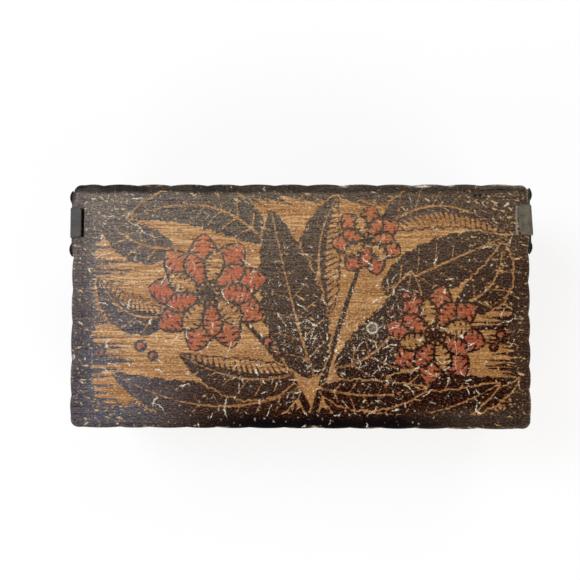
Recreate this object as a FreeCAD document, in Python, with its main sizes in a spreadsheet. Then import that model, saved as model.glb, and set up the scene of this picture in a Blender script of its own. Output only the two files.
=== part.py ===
import FreeCAD, Part
import math
import os

import Sketcher
from FreeCAD import Placement, Rotation, Vector

# A wooden trinket box with a scalloped lid that swings up and back on a bent steel arm at each end.
# X runs along the box, +Y is the back and +Z is up. The origin is the middle of the underside.

SIZES = {
    # The lid board, measured over the crests of its scalloped edge.
    "lid_length": 190.5,
    "lid_width": 101.5,
    "lid_thickness": 7.0,
    "lid_corner_radius": 4.0,
    "scallop_pitch": 14.1,
    "scallop_depth": 0.45,
    # The case under the lid.
    "wall_height": 52.2,
    "wall_thickness": 6.4,
    "end_overhang": 1.6,
    "side_overhang": 2.0,
    "finger_height": 7.4,
    "bottom_thickness": 4.8,
    # The hinge arms, stamped and bent from sheet steel.
    "arm_sheet": 0.9,
    "pivot_inset": 15.6,
    "pivot_drop": 25.4,
    "head_offset": 0.65,
    "tab_width": 12.5,
    "tab_reach": 4.3,
    "tab_corner_radius": 1.7,
    "bend_radius": 0.7,
    "ear_margin": 2.5,
    "ear_height": 5.0,
    "ear_lift": 0.2,
    "ear_round": 2.2,
    "stem_width": 11.0,
    "stem_end": 6.0,
    "stem_round": 4.5,
    "swing_gap": 0.3,
    # The domed nails that hold the ears to the lid.
    "nail_spread": 22.0,
    "nail_head_radius": 3.0,
    "nail_head_height": 1.8,
    "nail_radius": 0.8,
    "nail_length": 12.0,
    "nail_point": 2.5,
    # The pivot screws and the washers behind the arms.
    "screw_radius": 1.6,
    "screw_bite": 5.2,
    "screw_point": 1.6,
    "screw_head_radius": 3.4,
    "screw_head_height": 2.0,
    "slot_width": 0.8,
    "slot_depth": 0.9,
    "washer_radius": 4.8,
    "pivot_clearance": 0.05,
    "pivot_side_gap": 0.1,
    # The brads that hold the bottom board.
    "brad_end_margin": 18.0,
    "brad_head_radius": 1.3,
    "brad_head_height": 0.5,
    "brad_radius": 0.65,
    "brad_length": 15.0,
}

LONG_WALL_BRAD_COUNT = 4
END_WALL_BRAD_COUNT = 2

doc = FreeCAD.newDocument("wooden_box")
sheet = doc.addObject("Spreadsheet::Sheet", "Sizes")
for row, (alias, value) in enumerate(SIZES.items(), start=1):
    sheet.set(f"A{row}", alias)
    sheet.set(f"B{row}", str(value))
    sheet.setAlias(f"B{row}", alias)
doc.recompute()

# Lengths that several pieces share, as expressions over the sheet's cells.
CASE_LENGTH = "(Sizes.lid_length - 2 * Sizes.end_overhang)"
CASE_WIDTH = "(Sizes.lid_width - 2 * Sizes.side_overhang)"
CASE_TOP = "(Sizes.bottom_thickness + Sizes.wall_height)"
PIVOT_Y = "(Sizes.lid_width / 2 - Sizes.pivot_inset)"
PIVOT_Z = f"({CASE_TOP} - Sizes.pivot_drop)"
NAIL_SEAT = "(Sizes.lid_length / 2 + Sizes.arm_sheet)"
NAIL_Z = f"({CASE_TOP} + Sizes.ear_lift + Sizes.ear_height / 2)"
SCREW_SEAT = f"({NAIL_SEAT} + Sizes.pivot_side_gap)"

X_AXIS = Vector(1, 0, 0)
Y_AXIS = Vector(0, 1, 0)
Z_AXIS = Vector(0, 0, 1)
SNAP = 1e-5

subparts = []


def size(alias):
    """The number in the sheet's cell of that name."""
    return float(sheet.get(alias))


def value_of(expression):
    """The number that an expression over the sheet has now."""
    return float(sheet.evalExpression(expression))


def bind(thing, **expressions):
    """Ties properties to expressions; an x, y or z moves the thing there."""
    for name, expression in expressions.items():
        prop = f"Placement.Base.{name}" if name in ("x", "y", "z") else name
        thing.setExpression(prop, expression)
    return thing


def make(kind, name, **expressions):
    """A new object of the document with its sizes and place tied to the sheet."""
    return bind(doc.addObject(kind, name), **expressions)


def as_subpart(thing, label):
    """Gives a finished piece the name that its file takes."""
    thing.Label = label
    subparts.append(thing)
    return thing


def joined(name, things):
    """Several solids as one."""
    fuse = doc.addObject("Part::MultiFuse", name)
    fuse.Shapes = things
    fuse.Refine = True
    return fuse


def grouped(name, things):
    """Several separate solids kept together."""
    group = doc.addObject("Part::Compound", name)
    group.Links = things
    return group


def cut_from(name, base, tool):
    """The base with the tool's space taken out of it."""
    cut = doc.addObject("Part::Cut", name)
    cut.Base = base
    cut.Tool = tool
    return cut


def origin_plane(body, role):
    """One of a body's own origin planes."""
    return next(plane for plane in body.Origin.OriginFeatures if plane.Role == role)


def new_sketch(body, name, role):
    """An empty sketch on one of the body's origin planes."""
    sketch = body.newObject("Sketcher::SketchObject", name)
    sketch.AttachmentSupport = [(origin_plane(body, role), "")]
    sketch.MapMode = "FlatFace"
    return sketch


def pin_point(sketch, geometry, point, across, up):
    """Fixes a point of the sketch at a place given by two expressions."""
    for kind, expression in (("DistanceX", across), ("DistanceY", up)):
        start = value_of(expression)
        index = sketch.addConstraint(Sketcher.Constraint(kind, -1, 1, geometry, point, start))
        sketch.setExpression(f"Constraints[{index}]", expression)


def draw_outline(sketch, corners):
    """A closed outline of straight lines through corners given as expressions."""
    places = [Vector(value_of(across), value_of(up), 0) for across, up in corners]
    first = sketch.GeometryCount
    count = len(corners)
    for k in range(count):
        sketch.addGeometry(Part.LineSegment(places[k], places[(k + 1) % count]))
    for k in range(count):
        follower = first + (k + 1) % count
        sketch.addConstraint(Sketcher.Constraint("Coincident", first + k, 2, follower, 1))
    for k, (across, up) in enumerate(corners):
        pin_point(sketch, first + k, 1, across, up)


def draw_circle(sketch, across, up, radius):
    """A circle whose centre and radius are expressions."""
    centre = Vector(value_of(across), value_of(up), 0)
    start = value_of(radius)
    ring = sketch.addGeometry(Part.Circle(centre, Z_AXIS, start))
    index = sketch.addConstraint(Sketcher.Constraint("Radius", ring, start))
    sketch.setExpression(f"Constraints[{index}]", radius)
    pin_point(sketch, ring, 3, across, up)


def pad(body, sketch, name, length):
    """Grows a sketch along its normal."""
    feature = body.newObject("PartDesign::Pad", name)
    feature.Profile = sketch
    feature.setExpression("Length", length)
    sketch.Visibility = False
    return feature


def round_edges(body, base, name, wanted, radius):
    """Rounds the straight edges of a feature that a test picks out."""
    doc.recompute()
    names = [f"Edge{k}" for k, edge in enumerate(base.Shape.Edges, start=1) if wanted(edge)]
    feature = body.newObject("PartDesign::Fillet", name)
    feature.Base = (base, names)
    feature.setExpression("Radius", radius)
    return feature


def lies_at(edge, axis, across, place):
    """True for a straight edge parallel to an axis whose middle is at that place."""
    if not isinstance(edge.Curve, Part.Line):
        return False
    parallel = abs(abs(edge.Curve.Direction.dot(axis)) - 1) < SNAP
    return parallel and abs(getattr(edge.CenterOfMass, across) - value_of(place)) < SNAP


def turned_outward(side):
    """Turns a piece drawn along +Z so that it points out of the left (-1) or right (1) end."""
    return Rotation(Z_AXIS, X_AXIS * side)


# The four walls meet in finger joints at the corners. The long walls have the top and bottom fingers.
def finger_slots(name, long_wall):
    """The waste between the fingers of a wall, at both of its ends."""
    pairs = max(1, round((size("wall_height") / size("finger_height") - 1) / 2))
    count = 2 * pairs + 1
    step = f"(Sizes.wall_height / {count})"
    slots = []
    for k in range(1 if long_wall else 0, count, 2):
        for side in (-1, 1):
            slot = make(
                "Part::Box",
                f"{name}_{k}_{'right' if side > 0 else 'left'}",
                Length="2 * Sizes.wall_thickness",
                Width=CASE_WIDTH if long_wall else "2 * Sizes.wall_thickness",
                Height=step,
                z=f"Sizes.bottom_thickness + {k} * {step}",
            )
            if long_wall:
                bind(slot, x=f"{side} * {CASE_LENGTH} / 2 - Sizes.wall_thickness")
                bind(slot, y=f"-{CASE_WIDTH} / 2")
            else:
                bind(slot, x="-Sizes.wall_thickness")
                bind(slot, y=f"{side} * {CASE_WIDTH} / 2 - Sizes.wall_thickness")
            slots.append(slot)
    return joined(f"{name}s", slots)


def long_wall(name, side, slots):
    """The front (-1) or back (1) wall with its finger slots cut."""
    board = make(
        "Part::Box",
        f"{name}_board",
        Length=CASE_LENGTH,
        Width="Sizes.wall_thickness",
        Height="Sizes.wall_height",
        x=f"-{CASE_LENGTH} / 2",
        y=f"{side} * ({CASE_WIDTH} / 2 - Sizes.wall_thickness / 2) - Sizes.wall_thickness / 2",
        z="Sizes.bottom_thickness",
    )
    return cut_from(f"{name}_fingered", board, slots)


def end_wall(name, side):
    """The left (-1) or right (1) wall with its finger slots cut."""
    board = make(
        "Part::Box",
        f"{name}_board",
        Length="Sizes.wall_thickness",
        Width=CASE_WIDTH,
        Height="Sizes.wall_height",
        x="-Sizes.wall_thickness / 2",
        y=f"-{CASE_WIDTH} / 2",
        z="Sizes.bottom_thickness",
    )
    wall = cut_from(f"{name}_fingered", board, finger_slots(f"{name}_slot", False))
    return bind(wall, x=f"{side} * ({CASE_LENGTH} / 2 - Sizes.wall_thickness / 2)")


# The lid's underside swings on a circle about the pivots, so the walls behind them are rounded to it.
def swing_waste():
    """The wood behind the pivots and outside the circle that the lid's underside sweeps."""
    block = make(
        "Part::Box",
        "swing_block",
        Length="Sizes.lid_length",
        Width="Sizes.pivot_inset",
        Height="Sizes.pivot_drop + Sizes.lid_thickness",
        x="-Sizes.lid_length / 2",
        y=PIVOT_Y,
        z=PIVOT_Z,
    )
    drum = make(
        "Part::Cylinder",
        "swing_drum",
        Radius="Sizes.pivot_drop - Sizes.swing_gap",
        Height="Sizes.lid_length",
        x="-Sizes.lid_length / 2",
        y=PIVOT_Y,
        z=PIVOT_Z,
    )
    drum.Placement = Placement(drum.Placement.Base, turned_outward(1))
    return cut_from("swing_waste", block, drum)


# Screw and nail heads are round caps.
def dome(name, radius, rise):
    """A round cap of a sphere that stands on the XY plane."""
    ball = f"(({radius} ^ 2 + {rise} ^ 2) / (2 * {rise}))"
    return make(
        "Part::Sphere",
        name,
        Radius=ball,
        Angle1=f"asin(({ball} - {rise}) / {ball})",
        z=f"{rise} - {ball}",
    )


# A pivot screw has a slotted domed head, stands on the arm's outside and bites into the end wall.
def pivot_screw(label, side):
    buried = "(Sizes.end_overhang + Sizes.screw_bite)"
    reach = f"(Sizes.pivot_side_gap + Sizes.arm_sheet + {buried})"
    shank = make(
        "Part::Cylinder",
        f"{label}_shank",
        Radius="Sizes.screw_radius",
        Height=f"{reach} - Sizes.screw_point",
        z=f"Sizes.screw_point - {reach}",
    )
    point = make(
        "Part::Cone",
        f"{label}_point",
        Radius1="0",
        Radius2="Sizes.screw_radius",
        Height="Sizes.screw_point",
        z=f"-{reach}",
    )
    head = dome(f"{label}_head", "Sizes.screw_head_radius", "Sizes.screw_head_height")
    blank = joined(f"{label}_blank", [shank, point, head])
    slot = make(
        "Part::Box",
        f"{label}_slot",
        Length="2 * Sizes.screw_head_radius",
        Width="Sizes.slot_width",
        Height="Sizes.slot_depth",
        x="-Sizes.screw_head_radius",
        y="-Sizes.slot_width / 2",
        z="Sizes.screw_head_height - Sizes.slot_depth",
    )
    screw = cut_from(f"{label}_cut", blank, slot)
    screw.Placement = Placement(Vector(), turned_outward(side))
    bind(screw, x=f"{side} * {SCREW_SEAT}", y=PIVOT_Y, z=PIVOT_Z)
    return as_subpart(screw, label)


# A washer on each screw fills the lid's overhang, so the arm hangs straight.
def pivot_washer(label, side):
    thickness = "(Sizes.end_overhang - Sizes.pivot_side_gap)"
    disc = make("Part::Cylinder", f"{label}_disc", Radius="Sizes.washer_radius", Height=thickness)
    hole = make(
        "Part::Cylinder",
        f"{label}_hole",
        Radius="Sizes.screw_radius + Sizes.pivot_clearance",
        Height=thickness,
    )
    washer = cut_from(f"{label}_ring", disc, hole)
    washer.Placement = Placement(Vector(), turned_outward(side))
    bind(washer, x=f"{side} * {CASE_LENGTH} / 2", y=PIVOT_Y, z=PIVOT_Z)
    return as_subpart(washer, label)


# A brad has a flat round head and is driven up through the bottom board into a wall.
def brad_row(label, along_x, side):
    """A row of brads along the middle of a wall's thickness."""
    wall_run = CASE_LENGTH if along_x else CASE_WIDTH
    cross_run = CASE_WIDTH if along_x else CASE_LENGTH
    span = f"({wall_run} - 2 * Sizes.brad_end_margin)"
    count = LONG_WALL_BRAD_COUNT if along_x else END_WALL_BRAD_COUNT
    brads = []
    for k in range(count):
        along = f"({k} / {count - 1} - 0.5) * {span}"
        across = f"{side} * ({cross_run} / 2 - Sizes.wall_thickness / 2)"
        head = make(
            "Part::Cylinder",
            f"{label}_head_{k}",
            Radius="Sizes.brad_head_radius",
            Height="Sizes.brad_head_height",
        )
        shank = make(
            "Part::Cylinder",
            f"{label}_shank_{k}",
            Radius="Sizes.brad_radius",
            Height="Sizes.brad_length",
        )
        brad = joined(f"{label}_{k}", [head, shank])
        if along_x:
            bind(brad, x=along, y=across)
        else:
            bind(brad, x=across, y=along)
        brads.append(brad)
    return as_subpart(grouped(f"{label}_row", brads), label)


# A hinge arm is one flat T of sheet: the tab is bent in over the lid, the ears lie on the lid's end edge
# and the stem hangs down to the pivot. Its own origin is the pivot, on the face that lies on the lid.
def hinge_arm(label, side):
    body = doc.addObject("PartDesign::Body", f"{label}_body")
    top = "(Sizes.pivot_drop + Sizes.lid_thickness)"
    ear_low = "(Sizes.pivot_drop + Sizes.ear_lift)"
    ear_high = f"({ear_low} + Sizes.ear_height)"
    ear_left = "(Sizes.head_offset - Sizes.nail_spread / 2 - Sizes.ear_margin)"
    ear_right = "(Sizes.head_offset + Sizes.nail_spread / 2 + Sizes.ear_margin)"
    tab_left = "(Sizes.head_offset - Sizes.tab_width / 2)"
    tab_right = "(Sizes.head_offset + Sizes.tab_width / 2)"
    stem_left = "(-Sizes.stem_width / 2)"
    stem_right = "(Sizes.stem_width / 2)"
    stem_low = "(-Sizes.stem_end)"

    plate_sketch = new_sketch(body, f"{label}_plate_sketch", "YZ_Plane")
    draw_outline(
        plate_sketch,
        [
            (stem_left, stem_low),
            (stem_right, stem_low),
            (stem_right, ear_low),
            (ear_right, ear_low),
            (ear_right, ear_high),
            (tab_right, ear_high),
            (tab_right, f"{top} + Sizes.arm_sheet"),
            (tab_left, f"{top} + Sizes.arm_sheet"),
            (tab_left, ear_high),
            (ear_left, ear_high),
            (ear_left, ear_low),
            (stem_left, ear_low),
        ],
    )
    draw_circle(plate_sketch, "0", "0", "Sizes.screw_radius + Sizes.pivot_clearance")
    for end in (-1, 1):
        along = f"Sizes.head_offset + {end} * Sizes.nail_spread / 2"
        draw_circle(plate_sketch, along, f"{ear_low} + Sizes.ear_height / 2", "Sizes.nail_radius")
    plate = pad(body, plate_sketch, f"{label}_plate", "Sizes.arm_sheet")

    tab_sketch = new_sketch(body, f"{label}_tab_sketch", "XZ_Plane")
    draw_outline(
        tab_sketch,
        [
            ("-Sizes.tab_reach", top),
            ("Sizes.arm_sheet", top),
            ("Sizes.arm_sheet", f"{top} + Sizes.arm_sheet"),
            ("-Sizes.tab_reach", f"{top} + Sizes.arm_sheet"),
        ],
    )
    # The sketch's normal points to the front, so the tab grows forward from its back side.
    tab_sketch.setExpression("AttachmentOffset.Base.z", f"-{tab_right}")
    tab = pad(body, tab_sketch, f"{label}_tab", "Sizes.tab_width")

    def at_tab_corner(edge):
        return lies_at(edge, Z_AXIS, "x", "-Sizes.tab_reach")

    def at_bend(edge):
        at_top = lies_at(edge, Y_AXIS, "z", f"{top} + Sizes.arm_sheet")
        return at_top and lies_at(edge, Y_AXIS, "x", "Sizes.arm_sheet")

    def at_ear_tip(edge):
        return lies_at(edge, X_AXIS, "y", ear_left) or lies_at(edge, X_AXIS, "y", ear_right)

    def at_stem_end(edge):
        return lies_at(edge, X_AXIS, "z", stem_low)

    corner_limit = "0.49 * min(Sizes.tab_width; 2 * Sizes.tab_reach)"
    tab_corner = f"min(Sizes.tab_corner_radius; {corner_limit})"
    bend = "min(Sizes.bend_radius; 0.95 * Sizes.arm_sheet)"
    ear_round = "min(Sizes.ear_round; 0.49 * Sizes.ear_height)"
    stem_round = "min(Sizes.stem_round; 0.49 * Sizes.stem_width)"
    feature = round_edges(body, tab, f"{label}_tab_corners", at_tab_corner, tab_corner)
    feature = round_edges(body, feature, f"{label}_bend", at_bend, bend)
    feature = round_edges(body, feature, f"{label}_ear_tips", at_ear_tip, ear_round)
    round_edges(body, feature, f"{label}_stem_end", at_stem_end, stem_round)

    body.Placement = Placement(Vector(), Rotation(Z_AXIS, 0 if side > 0 else 180))
    bind(body, x=f"{side} * Sizes.lid_length / 2", y=PIVOT_Y, z=PIVOT_Z)
    return as_subpart(body, label)


# A domed nail holds each ear to the lid's end edge.
def ear_nail(label, side, end):
    """A nail at the front (-1) or back (1) ear of the left (-1) or right (1) arm."""
    head = dome(f"{label}_head", "Sizes.nail_head_radius", "Sizes.nail_head_height")
    shank = make(
        "Part::Cylinder",
        f"{label}_shank",
        Radius="Sizes.nail_radius",
        Height="Sizes.nail_length - Sizes.nail_point",
        z="Sizes.nail_point - Sizes.nail_length",
    )
    point = make(
        "Part::Cone",
        f"{label}_point",
        Radius1="0",
        Radius2="Sizes.nail_radius",
        Height="Sizes.nail_point",
        z="-Sizes.nail_length",
    )
    nail = joined(f"{label}_nail", [head, shank, point])
    nail.Placement = Placement(Vector(), turned_outward(side))
    bind(
        nail,
        x=f"{side} * {NAIL_SEAT}",
        y=f"{PIVOT_Y} + {side} * Sizes.head_offset + {end} * Sizes.nail_spread / 2",
        z=NAIL_Z,
    )
    return as_subpart(nail, label)


# The lid is one board. Its edge is carved in shallow scallops, and its corners are rounded.
def lid_outline():
    """The edge of the lid seen from above: one arc for each scallop and each corner."""
    half_length = size("lid_length") / 2
    half_width = size("lid_width") / 2
    radius = size("lid_corner_radius")
    depth = size("scallop_depth")
    corners = [
        Vector(half_length, half_width, 0),
        Vector(-half_length, half_width, 0),
        Vector(-half_length, -half_width, 0),
        Vector(half_length, -half_width, 0),
    ]
    arcs = []
    for here, there in zip(corners, corners[1:] + corners[:1]):
        along = (there - here).normalize()
        inward = Vector(-along.y, along.x, 0)
        length = (there - here).Length - 2 * radius
        start = here + along * radius
        count = max(1, round(length / size("scallop_pitch")))
        hump = along * (length / count)
        for k in range(count):
            low = start + hump * k + inward * depth
            crest = start + hump * (k + 0.5)
            arcs.append((low, crest, low + hump))
        centre = there + (inward - along) * radius
        around = centre + (along - inward) * (radius * math.sqrt(0.5))
        arcs.append((low + hump, around, centre + along * (radius - depth)))
    return arcs


def lid_board(nails):
    body = doc.addObject("PartDesign::Body", "lid_blank")
    sketch = new_sketch(body, "lid_sketch", "XY_Plane")
    arcs = lid_outline()
    for start, middle, end in arcs:
        sketch.addGeometry(Part.Arc(start, middle, end))
    for k in range(len(arcs)):
        sketch.addConstraint(Sketcher.Constraint("Block", k))
    pad(body, sketch, "lid_pad", "Sizes.lid_thickness")
    bind(body, z=CASE_TOP)
    return as_subpart(cut_from("lid_drilled", body, grouped("lid_nail_holes", nails)), "lid_board")


SIDES = {"left": -1, "right": 1}
ENDS = {"front": -1, "back": 1}

screws = {name: pivot_screw(f"{name}_pivot_screw", side) for name, side in SIDES.items()}
for name, side in SIDES.items():
    pivot_washer(f"{name}_pivot_washer", side)
    hinge_arm(f"{name}_hinge_arm", side)
nails = []
for name, side in SIDES.items():
    for end_name, end in ENDS.items():
        nails.append(ear_nail(f"{name}_{end_name}_nail", side, end))
lid_board(nails)

brads = {name: brad_row(f"{name}_brads", True, end) for name, end in ENDS.items()}
for name, side in SIDES.items():
    brads[name] = brad_row(f"{name}_brads", False, side)

long_slots = finger_slots("long_slot", True)
waste = swing_waste()
front_wall = long_wall("front_wall", ENDS["front"], long_slots)
as_subpart(cut_from("front_wall_drilled", front_wall, brads["front"]), "front_wall")
back_wall = cut_from("back_wall_rounded", long_wall("back_wall", ENDS["back"], long_slots), waste)
as_subpart(cut_from("back_wall_drilled", back_wall, brads["back"]), "back_wall")
for name, side in SIDES.items():
    wall = cut_from(f"{name}_wall_rounded", end_wall(f"{name}_wall", side), waste)
    holes = grouped(f"{name}_wall_holes", [screws[name], brads[name]])
    as_subpart(cut_from(f"{name}_wall_drilled", wall, holes), f"{name}_end_wall")

bottom = make(
    "Part::Box",
    "bottom_blank",
    Length=CASE_LENGTH,
    Width=CASE_WIDTH,
    Height="Sizes.bottom_thickness",
    x=f"-{CASE_LENGTH} / 2",
    y=f"-{CASE_WIDTH} / 2",
)
brad_holes = grouped("bottom_holes", list(brads.values()))
as_subpart(cut_from("bottom_drilled", bottom, brad_holes), "bottom_board")

doc.recompute()
for thing in doc.Objects:
    if "Invalid" in thing.State or "Error" in thing.State:
        raise SystemExit(f"{thing.Name} could not be made: {thing.State}")
os.makedirs("parts", exist_ok=True)
for subpart in subparts:
    if subpart.Shape.isNull() or not subpart.Shape.isValid() or not subpart.Shape.Solids:
        raise SystemExit(f"{subpart.Label} has no sound solid")
    subpart.Shape.exportStep(f"parts/{subpart.Label}.step")
    print(subpart.Label, len(subpart.Shape.Solids), round(subpart.Shape.Volume, 1))
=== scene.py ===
import math

import bmesh
import bpy
import numpy as np
from mathutils import Euler, Matrix, Vector
from mathutils.geometry import delaunay_2d_cdt


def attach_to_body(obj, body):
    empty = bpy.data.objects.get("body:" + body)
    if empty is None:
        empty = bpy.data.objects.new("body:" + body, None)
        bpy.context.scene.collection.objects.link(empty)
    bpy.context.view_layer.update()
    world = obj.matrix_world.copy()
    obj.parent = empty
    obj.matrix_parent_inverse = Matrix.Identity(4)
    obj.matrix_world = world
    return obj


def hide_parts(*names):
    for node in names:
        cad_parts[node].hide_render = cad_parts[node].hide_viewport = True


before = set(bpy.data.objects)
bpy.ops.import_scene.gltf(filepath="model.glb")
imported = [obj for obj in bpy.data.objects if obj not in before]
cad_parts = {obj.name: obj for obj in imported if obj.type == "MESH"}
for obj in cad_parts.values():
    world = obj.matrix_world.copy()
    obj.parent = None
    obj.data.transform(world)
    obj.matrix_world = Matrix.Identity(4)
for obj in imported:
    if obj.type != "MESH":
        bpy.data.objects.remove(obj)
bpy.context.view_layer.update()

# A wooden trinket box with a burnt and stained lid, seen from straight above on a white table.
# Sizes are in millimetres and become metres where a mesh is made.


# The table: a white sheet that the box stands on. It is flat, matt and much larger than the box.
# The camera sees it as white paper, and it still takes the soft shadow of the box.
MM = 0.001
TO_MM = (1000, 1000, 1000)
TABLE_SIZE = 6000.0
WHITE = "#ffffff"
PAPER_WHITE, PAPER_GLOW = "#fafaf9", 0.8


def colour(text):
    """An sRGB hex colour as the linear colour that Blender works in."""
    parts = [int(text[k : k + 2], 16) / 255 for k in (1, 3, 5)]
    return tuple(p / 12.92 if p <= 0.04045 else ((p + 0.055) / 1.055) ** 2.4 for p in parts) + (1.0,)


def adder(tree, family="ShaderNode"):
    """The one function that adds nodes to this tree."""

    def add(kind, inputs=(), operation=None, out=0, stops=(), **settings):
        """A node with its settings and links. An input, by place or by name, takes a number, a hex colour or
        a node's output; stops are the places and colours of a ramp. Gives one output back."""
        node = tree.nodes.new(family + kind)
        if operation:
            node.operation = operation
        for name, value in settings.items():
            setattr(node, name, value)
        for name, value in inputs.items() if isinstance(inputs, dict) else enumerate(inputs):
            if isinstance(value, bpy.types.NodeSocket):
                tree.links.new(value, node.inputs[name])
            else:
                node.inputs[name].default_value = colour(value) if isinstance(value, str) else value
        for k, (position, text) in enumerate(stops):
            elements = node.color_ramp.elements
            element = elements[k] if k < len(elements) else elements.new(position)
            element.position, element.color = position, colour(text)
        return node.outputs[out] if out is not None else node

    return add


def new_material(name):
    """An empty material and the function that adds nodes to it."""
    material = bpy.data.materials.new(name)
    material.use_nodes = True
    material.node_tree.nodes.clear()
    return material, adder(material.node_tree)


def mesh_object(name, points, faces, *materials, smooth=True):
    """A mesh in millimetres becomes an object in metres that stands at the origin."""
    mesh = bpy.data.meshes.new(name)
    points = [tuple(MM * c for c in point) for point in points]
    mesh.from_pydata(points, [], faces, shade_flat=not smooth)
    for material in materials:
        mesh.materials.append(material)
    piece = bpy.data.objects.new(name, mesh)
    bpy.context.scene.collection.objects.link(piece)
    return piece


# Far from the box the paper is seen plain white, so that no edge shows between table and room.
paper, add = new_material("matt white paper")
away = add("VectorMath", [add("TexCoord", out="Object")], "LENGTH", out="Value")
ray = add("LightPath", out=None).outputs
seen = add("Math", [ray["Is Camera Ray"], ray["Is Glossy Ray"]], "MAXIMUM")
share = add("MapRange", [away, 0.25, 0.9, PAPER_GLOW, 1.0])
share = add("Math", [seen, share], "MULTIPLY")
both = add("MixShader", [share, add("BsdfDiffuse", [PAPER_WHITE]), add("Emission", [WHITE, 1.0])])
add("OutputMaterial", [both], out=None)
half = TABLE_SIZE / 2
corners = [(-half, -half, 0), (half, -half, 0), (half, half, 0), (-half, half, 0)]
mesh_object("table_top", corners, [(0, 1, 2, 3)], paper, smooth=False)


# The studio: a large cool lamp high on the left and behind, like a window, three weaker warm ones round
# the box, and a pale room. The window's reflection lies on the lid's left and back part as a grey sheen.
scene = bpy.context.scene
scene.view_settings.view_transform = "Standard"
LAMPS = [
    ("window_lamp", (-640, 300, 980), 520, 9.6, "#e6edff"),
    ("back_lamp", (300, 760, 760), 500, 3.0, "#fff5e8"),
    ("right_fill", (700, -700, 600), 700, 5.2, "#fffaf2"),
    ("left_fill", (-600, -800, 650), 700, 4.2, "#fffaf2"),
]
for name, place, size, watts, tint in LAMPS:
    lamp = bpy.data.lights.new(name, "AREA")
    lamp.shape = "SQUARE"
    lamp.size = size * MM
    lamp.energy = watts
    lamp.color = colour(tint)[:3]
    holder = bpy.data.objects.new(name, lamp)
    scene.collection.objects.link(holder)
    holder.location = [c * MM for c in place]
    holder.rotation_euler = (-Vector(place)).to_track_quat("-Z", "Y").to_euler()

world = bpy.data.worlds.new("pale room")
scene.world = world
world.use_nodes = True
world.node_tree.nodes.clear()
add = adder(world.node_tree)
# The ceiling is darker than the walls of the room, so little of it shines in the lid.
height = add("SeparateXYZ", [add("TexCoord", out="Generated")], out="Z")
room = add("Background", [WHITE, add("MapRange", [height, 0.1, 0.85, 0.75, 0.05])])
both = add("MixShader", [add("LightPath", out="Is Camera Ray"), room, add("Background", [WHITE, 1.0])])
add("OutputWorld", [both], out=None)


# The camera: held above the lid, leaning slightly to the front and right, as the picture shows.
# Its place, aim and roll follow the outline of the lid there.
CAMERA_PLACE = (0.7, -10.1, 399.8)
CAMERA_AIM = (-4.1, 6.4, 64.2)
CAMERA_ROLL = -0.0026
camera = bpy.data.objects.new("camera", bpy.data.cameras.new("camera"))
camera.data.lens = 50.3
camera.data.sensor_width = 36.0
camera.data.clip_start = 0.01
camera.location = [c * MM for c in CAMERA_PLACE]
back = (Vector(CAMERA_PLACE) - Vector(CAMERA_AIM)).normalized()
right = Vector((CAMERA_ROLL, 1, 0)).cross(back).normalized()
camera.rotation_euler = Matrix((right, back.cross(right), back)).transposed().to_euler()
scene.collection.objects.link(camera)
scene.camera = camera


# The lid: one solid board with a carved, wavy edge. Its top is burnt with a hot point into dark leaves
# and blossoms, stained red and amber, varnished, and worn by years of use.
LID_HIGH = 64.0
LID_HALF = (95.2, 50.7)
LID_CORNER = 4.0
GRID_STEP = 0.5
ARRIS_WIDE, ARRIS_DEEP = 1.5, 1.0
WAVE_DEPTH = 0.5
BURN_DEPTH = 0.14
# The distance to a mark that stands for none, and the one that stands for deep inside a burnt place.
NO_MARK, DEEP_MARK = 40.0, -5.0
# The hinge tabs on the lid: the side, the place of the middle, and where the tab ends.
LEFT_TAB, RIGHT_TAB = (-1, 34.5, 91.4), (1, 35.8, 90.4)
# The low points of the carved waves along each edge, in millimetres from the lid's middle.
BACK_WAVES = (-91, -82.6, -68.2, -54.0, -38.9, -25.0, -10.5, 3.0, 17.4, 32.2, 46.8, 61.2, 75.6, 89.5)
FRONT_WAVES = (-90, -74.5, -62.0, -46.5, -33.8, -20.6, -6.2, 6.4, 20.8, 33.5, 47.0, 60.4, 73.6, 90)
LEFT_WAVES = (-46, -37.3, -22.7, -7.2, 6.6, 19.9, 33.4, 46)
RIGHT_WAVES = (-47, -34.5, -24.8, -14.0, -3.2, 10.0, 22.6, 35.0, 46)


def stroke(x, y, start, end, start_half, end_half):
    """Signed distance to a stroke that narrows from one end to the other."""
    (ax, ay), (bx, by) = start, end
    run = (bx - ax) ** 2 + (by - ay) ** 2
    t = np.clip(((x - ax) * (bx - ax) + (y - ay) * (by - ay)) / run, 0, 1)
    away = np.hypot(x - ax - t * (bx - ax), y - ay - t * (by - ay))
    return away - (start_half + t * (end_half - start_half))


def along_rib(x, y, start, bend, end, steps=28):
    """The place along a bent rib from 0 to 1, the distance from it, the side, and its length."""
    t = np.linspace(0, 1, steps + 1)
    rx, ry = ((1 - t) ** 2 * s + 2 * t * (1 - t) * b + t * t * e for s, b, e in zip(start, bend, end))
    nearest = np.full(x.shape, 1e9)
    place = np.zeros(x.shape)
    side = np.zeros(x.shape)
    for k in range(steps):
        dx, dy = rx[k + 1] - rx[k], ry[k + 1] - ry[k]
        f = np.clip(((x - rx[k]) * dx + (y - ry[k]) * dy) / (dx * dx + dy * dy), 0, 1)
        ox, oy = x - rx[k] - f * dx, y - ry[k] - f * dy
        away = np.hypot(ox, oy)
        closer = away < nearest
        nearest = np.where(closer, away, nearest)
        place = np.where(closer, (k + f) / steps, place)
        side = np.where(closer, np.sign(dx * oy - dy * ox), side)
    return place, nearest, side, np.hypot(np.diff(rx), np.diff(ry)).sum()


def bands(place, pitch, half):
    """Signed distance to evenly spaced lines across a run."""
    return np.abs(place / pitch - np.round(place / pitch)) * pitch - half


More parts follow.
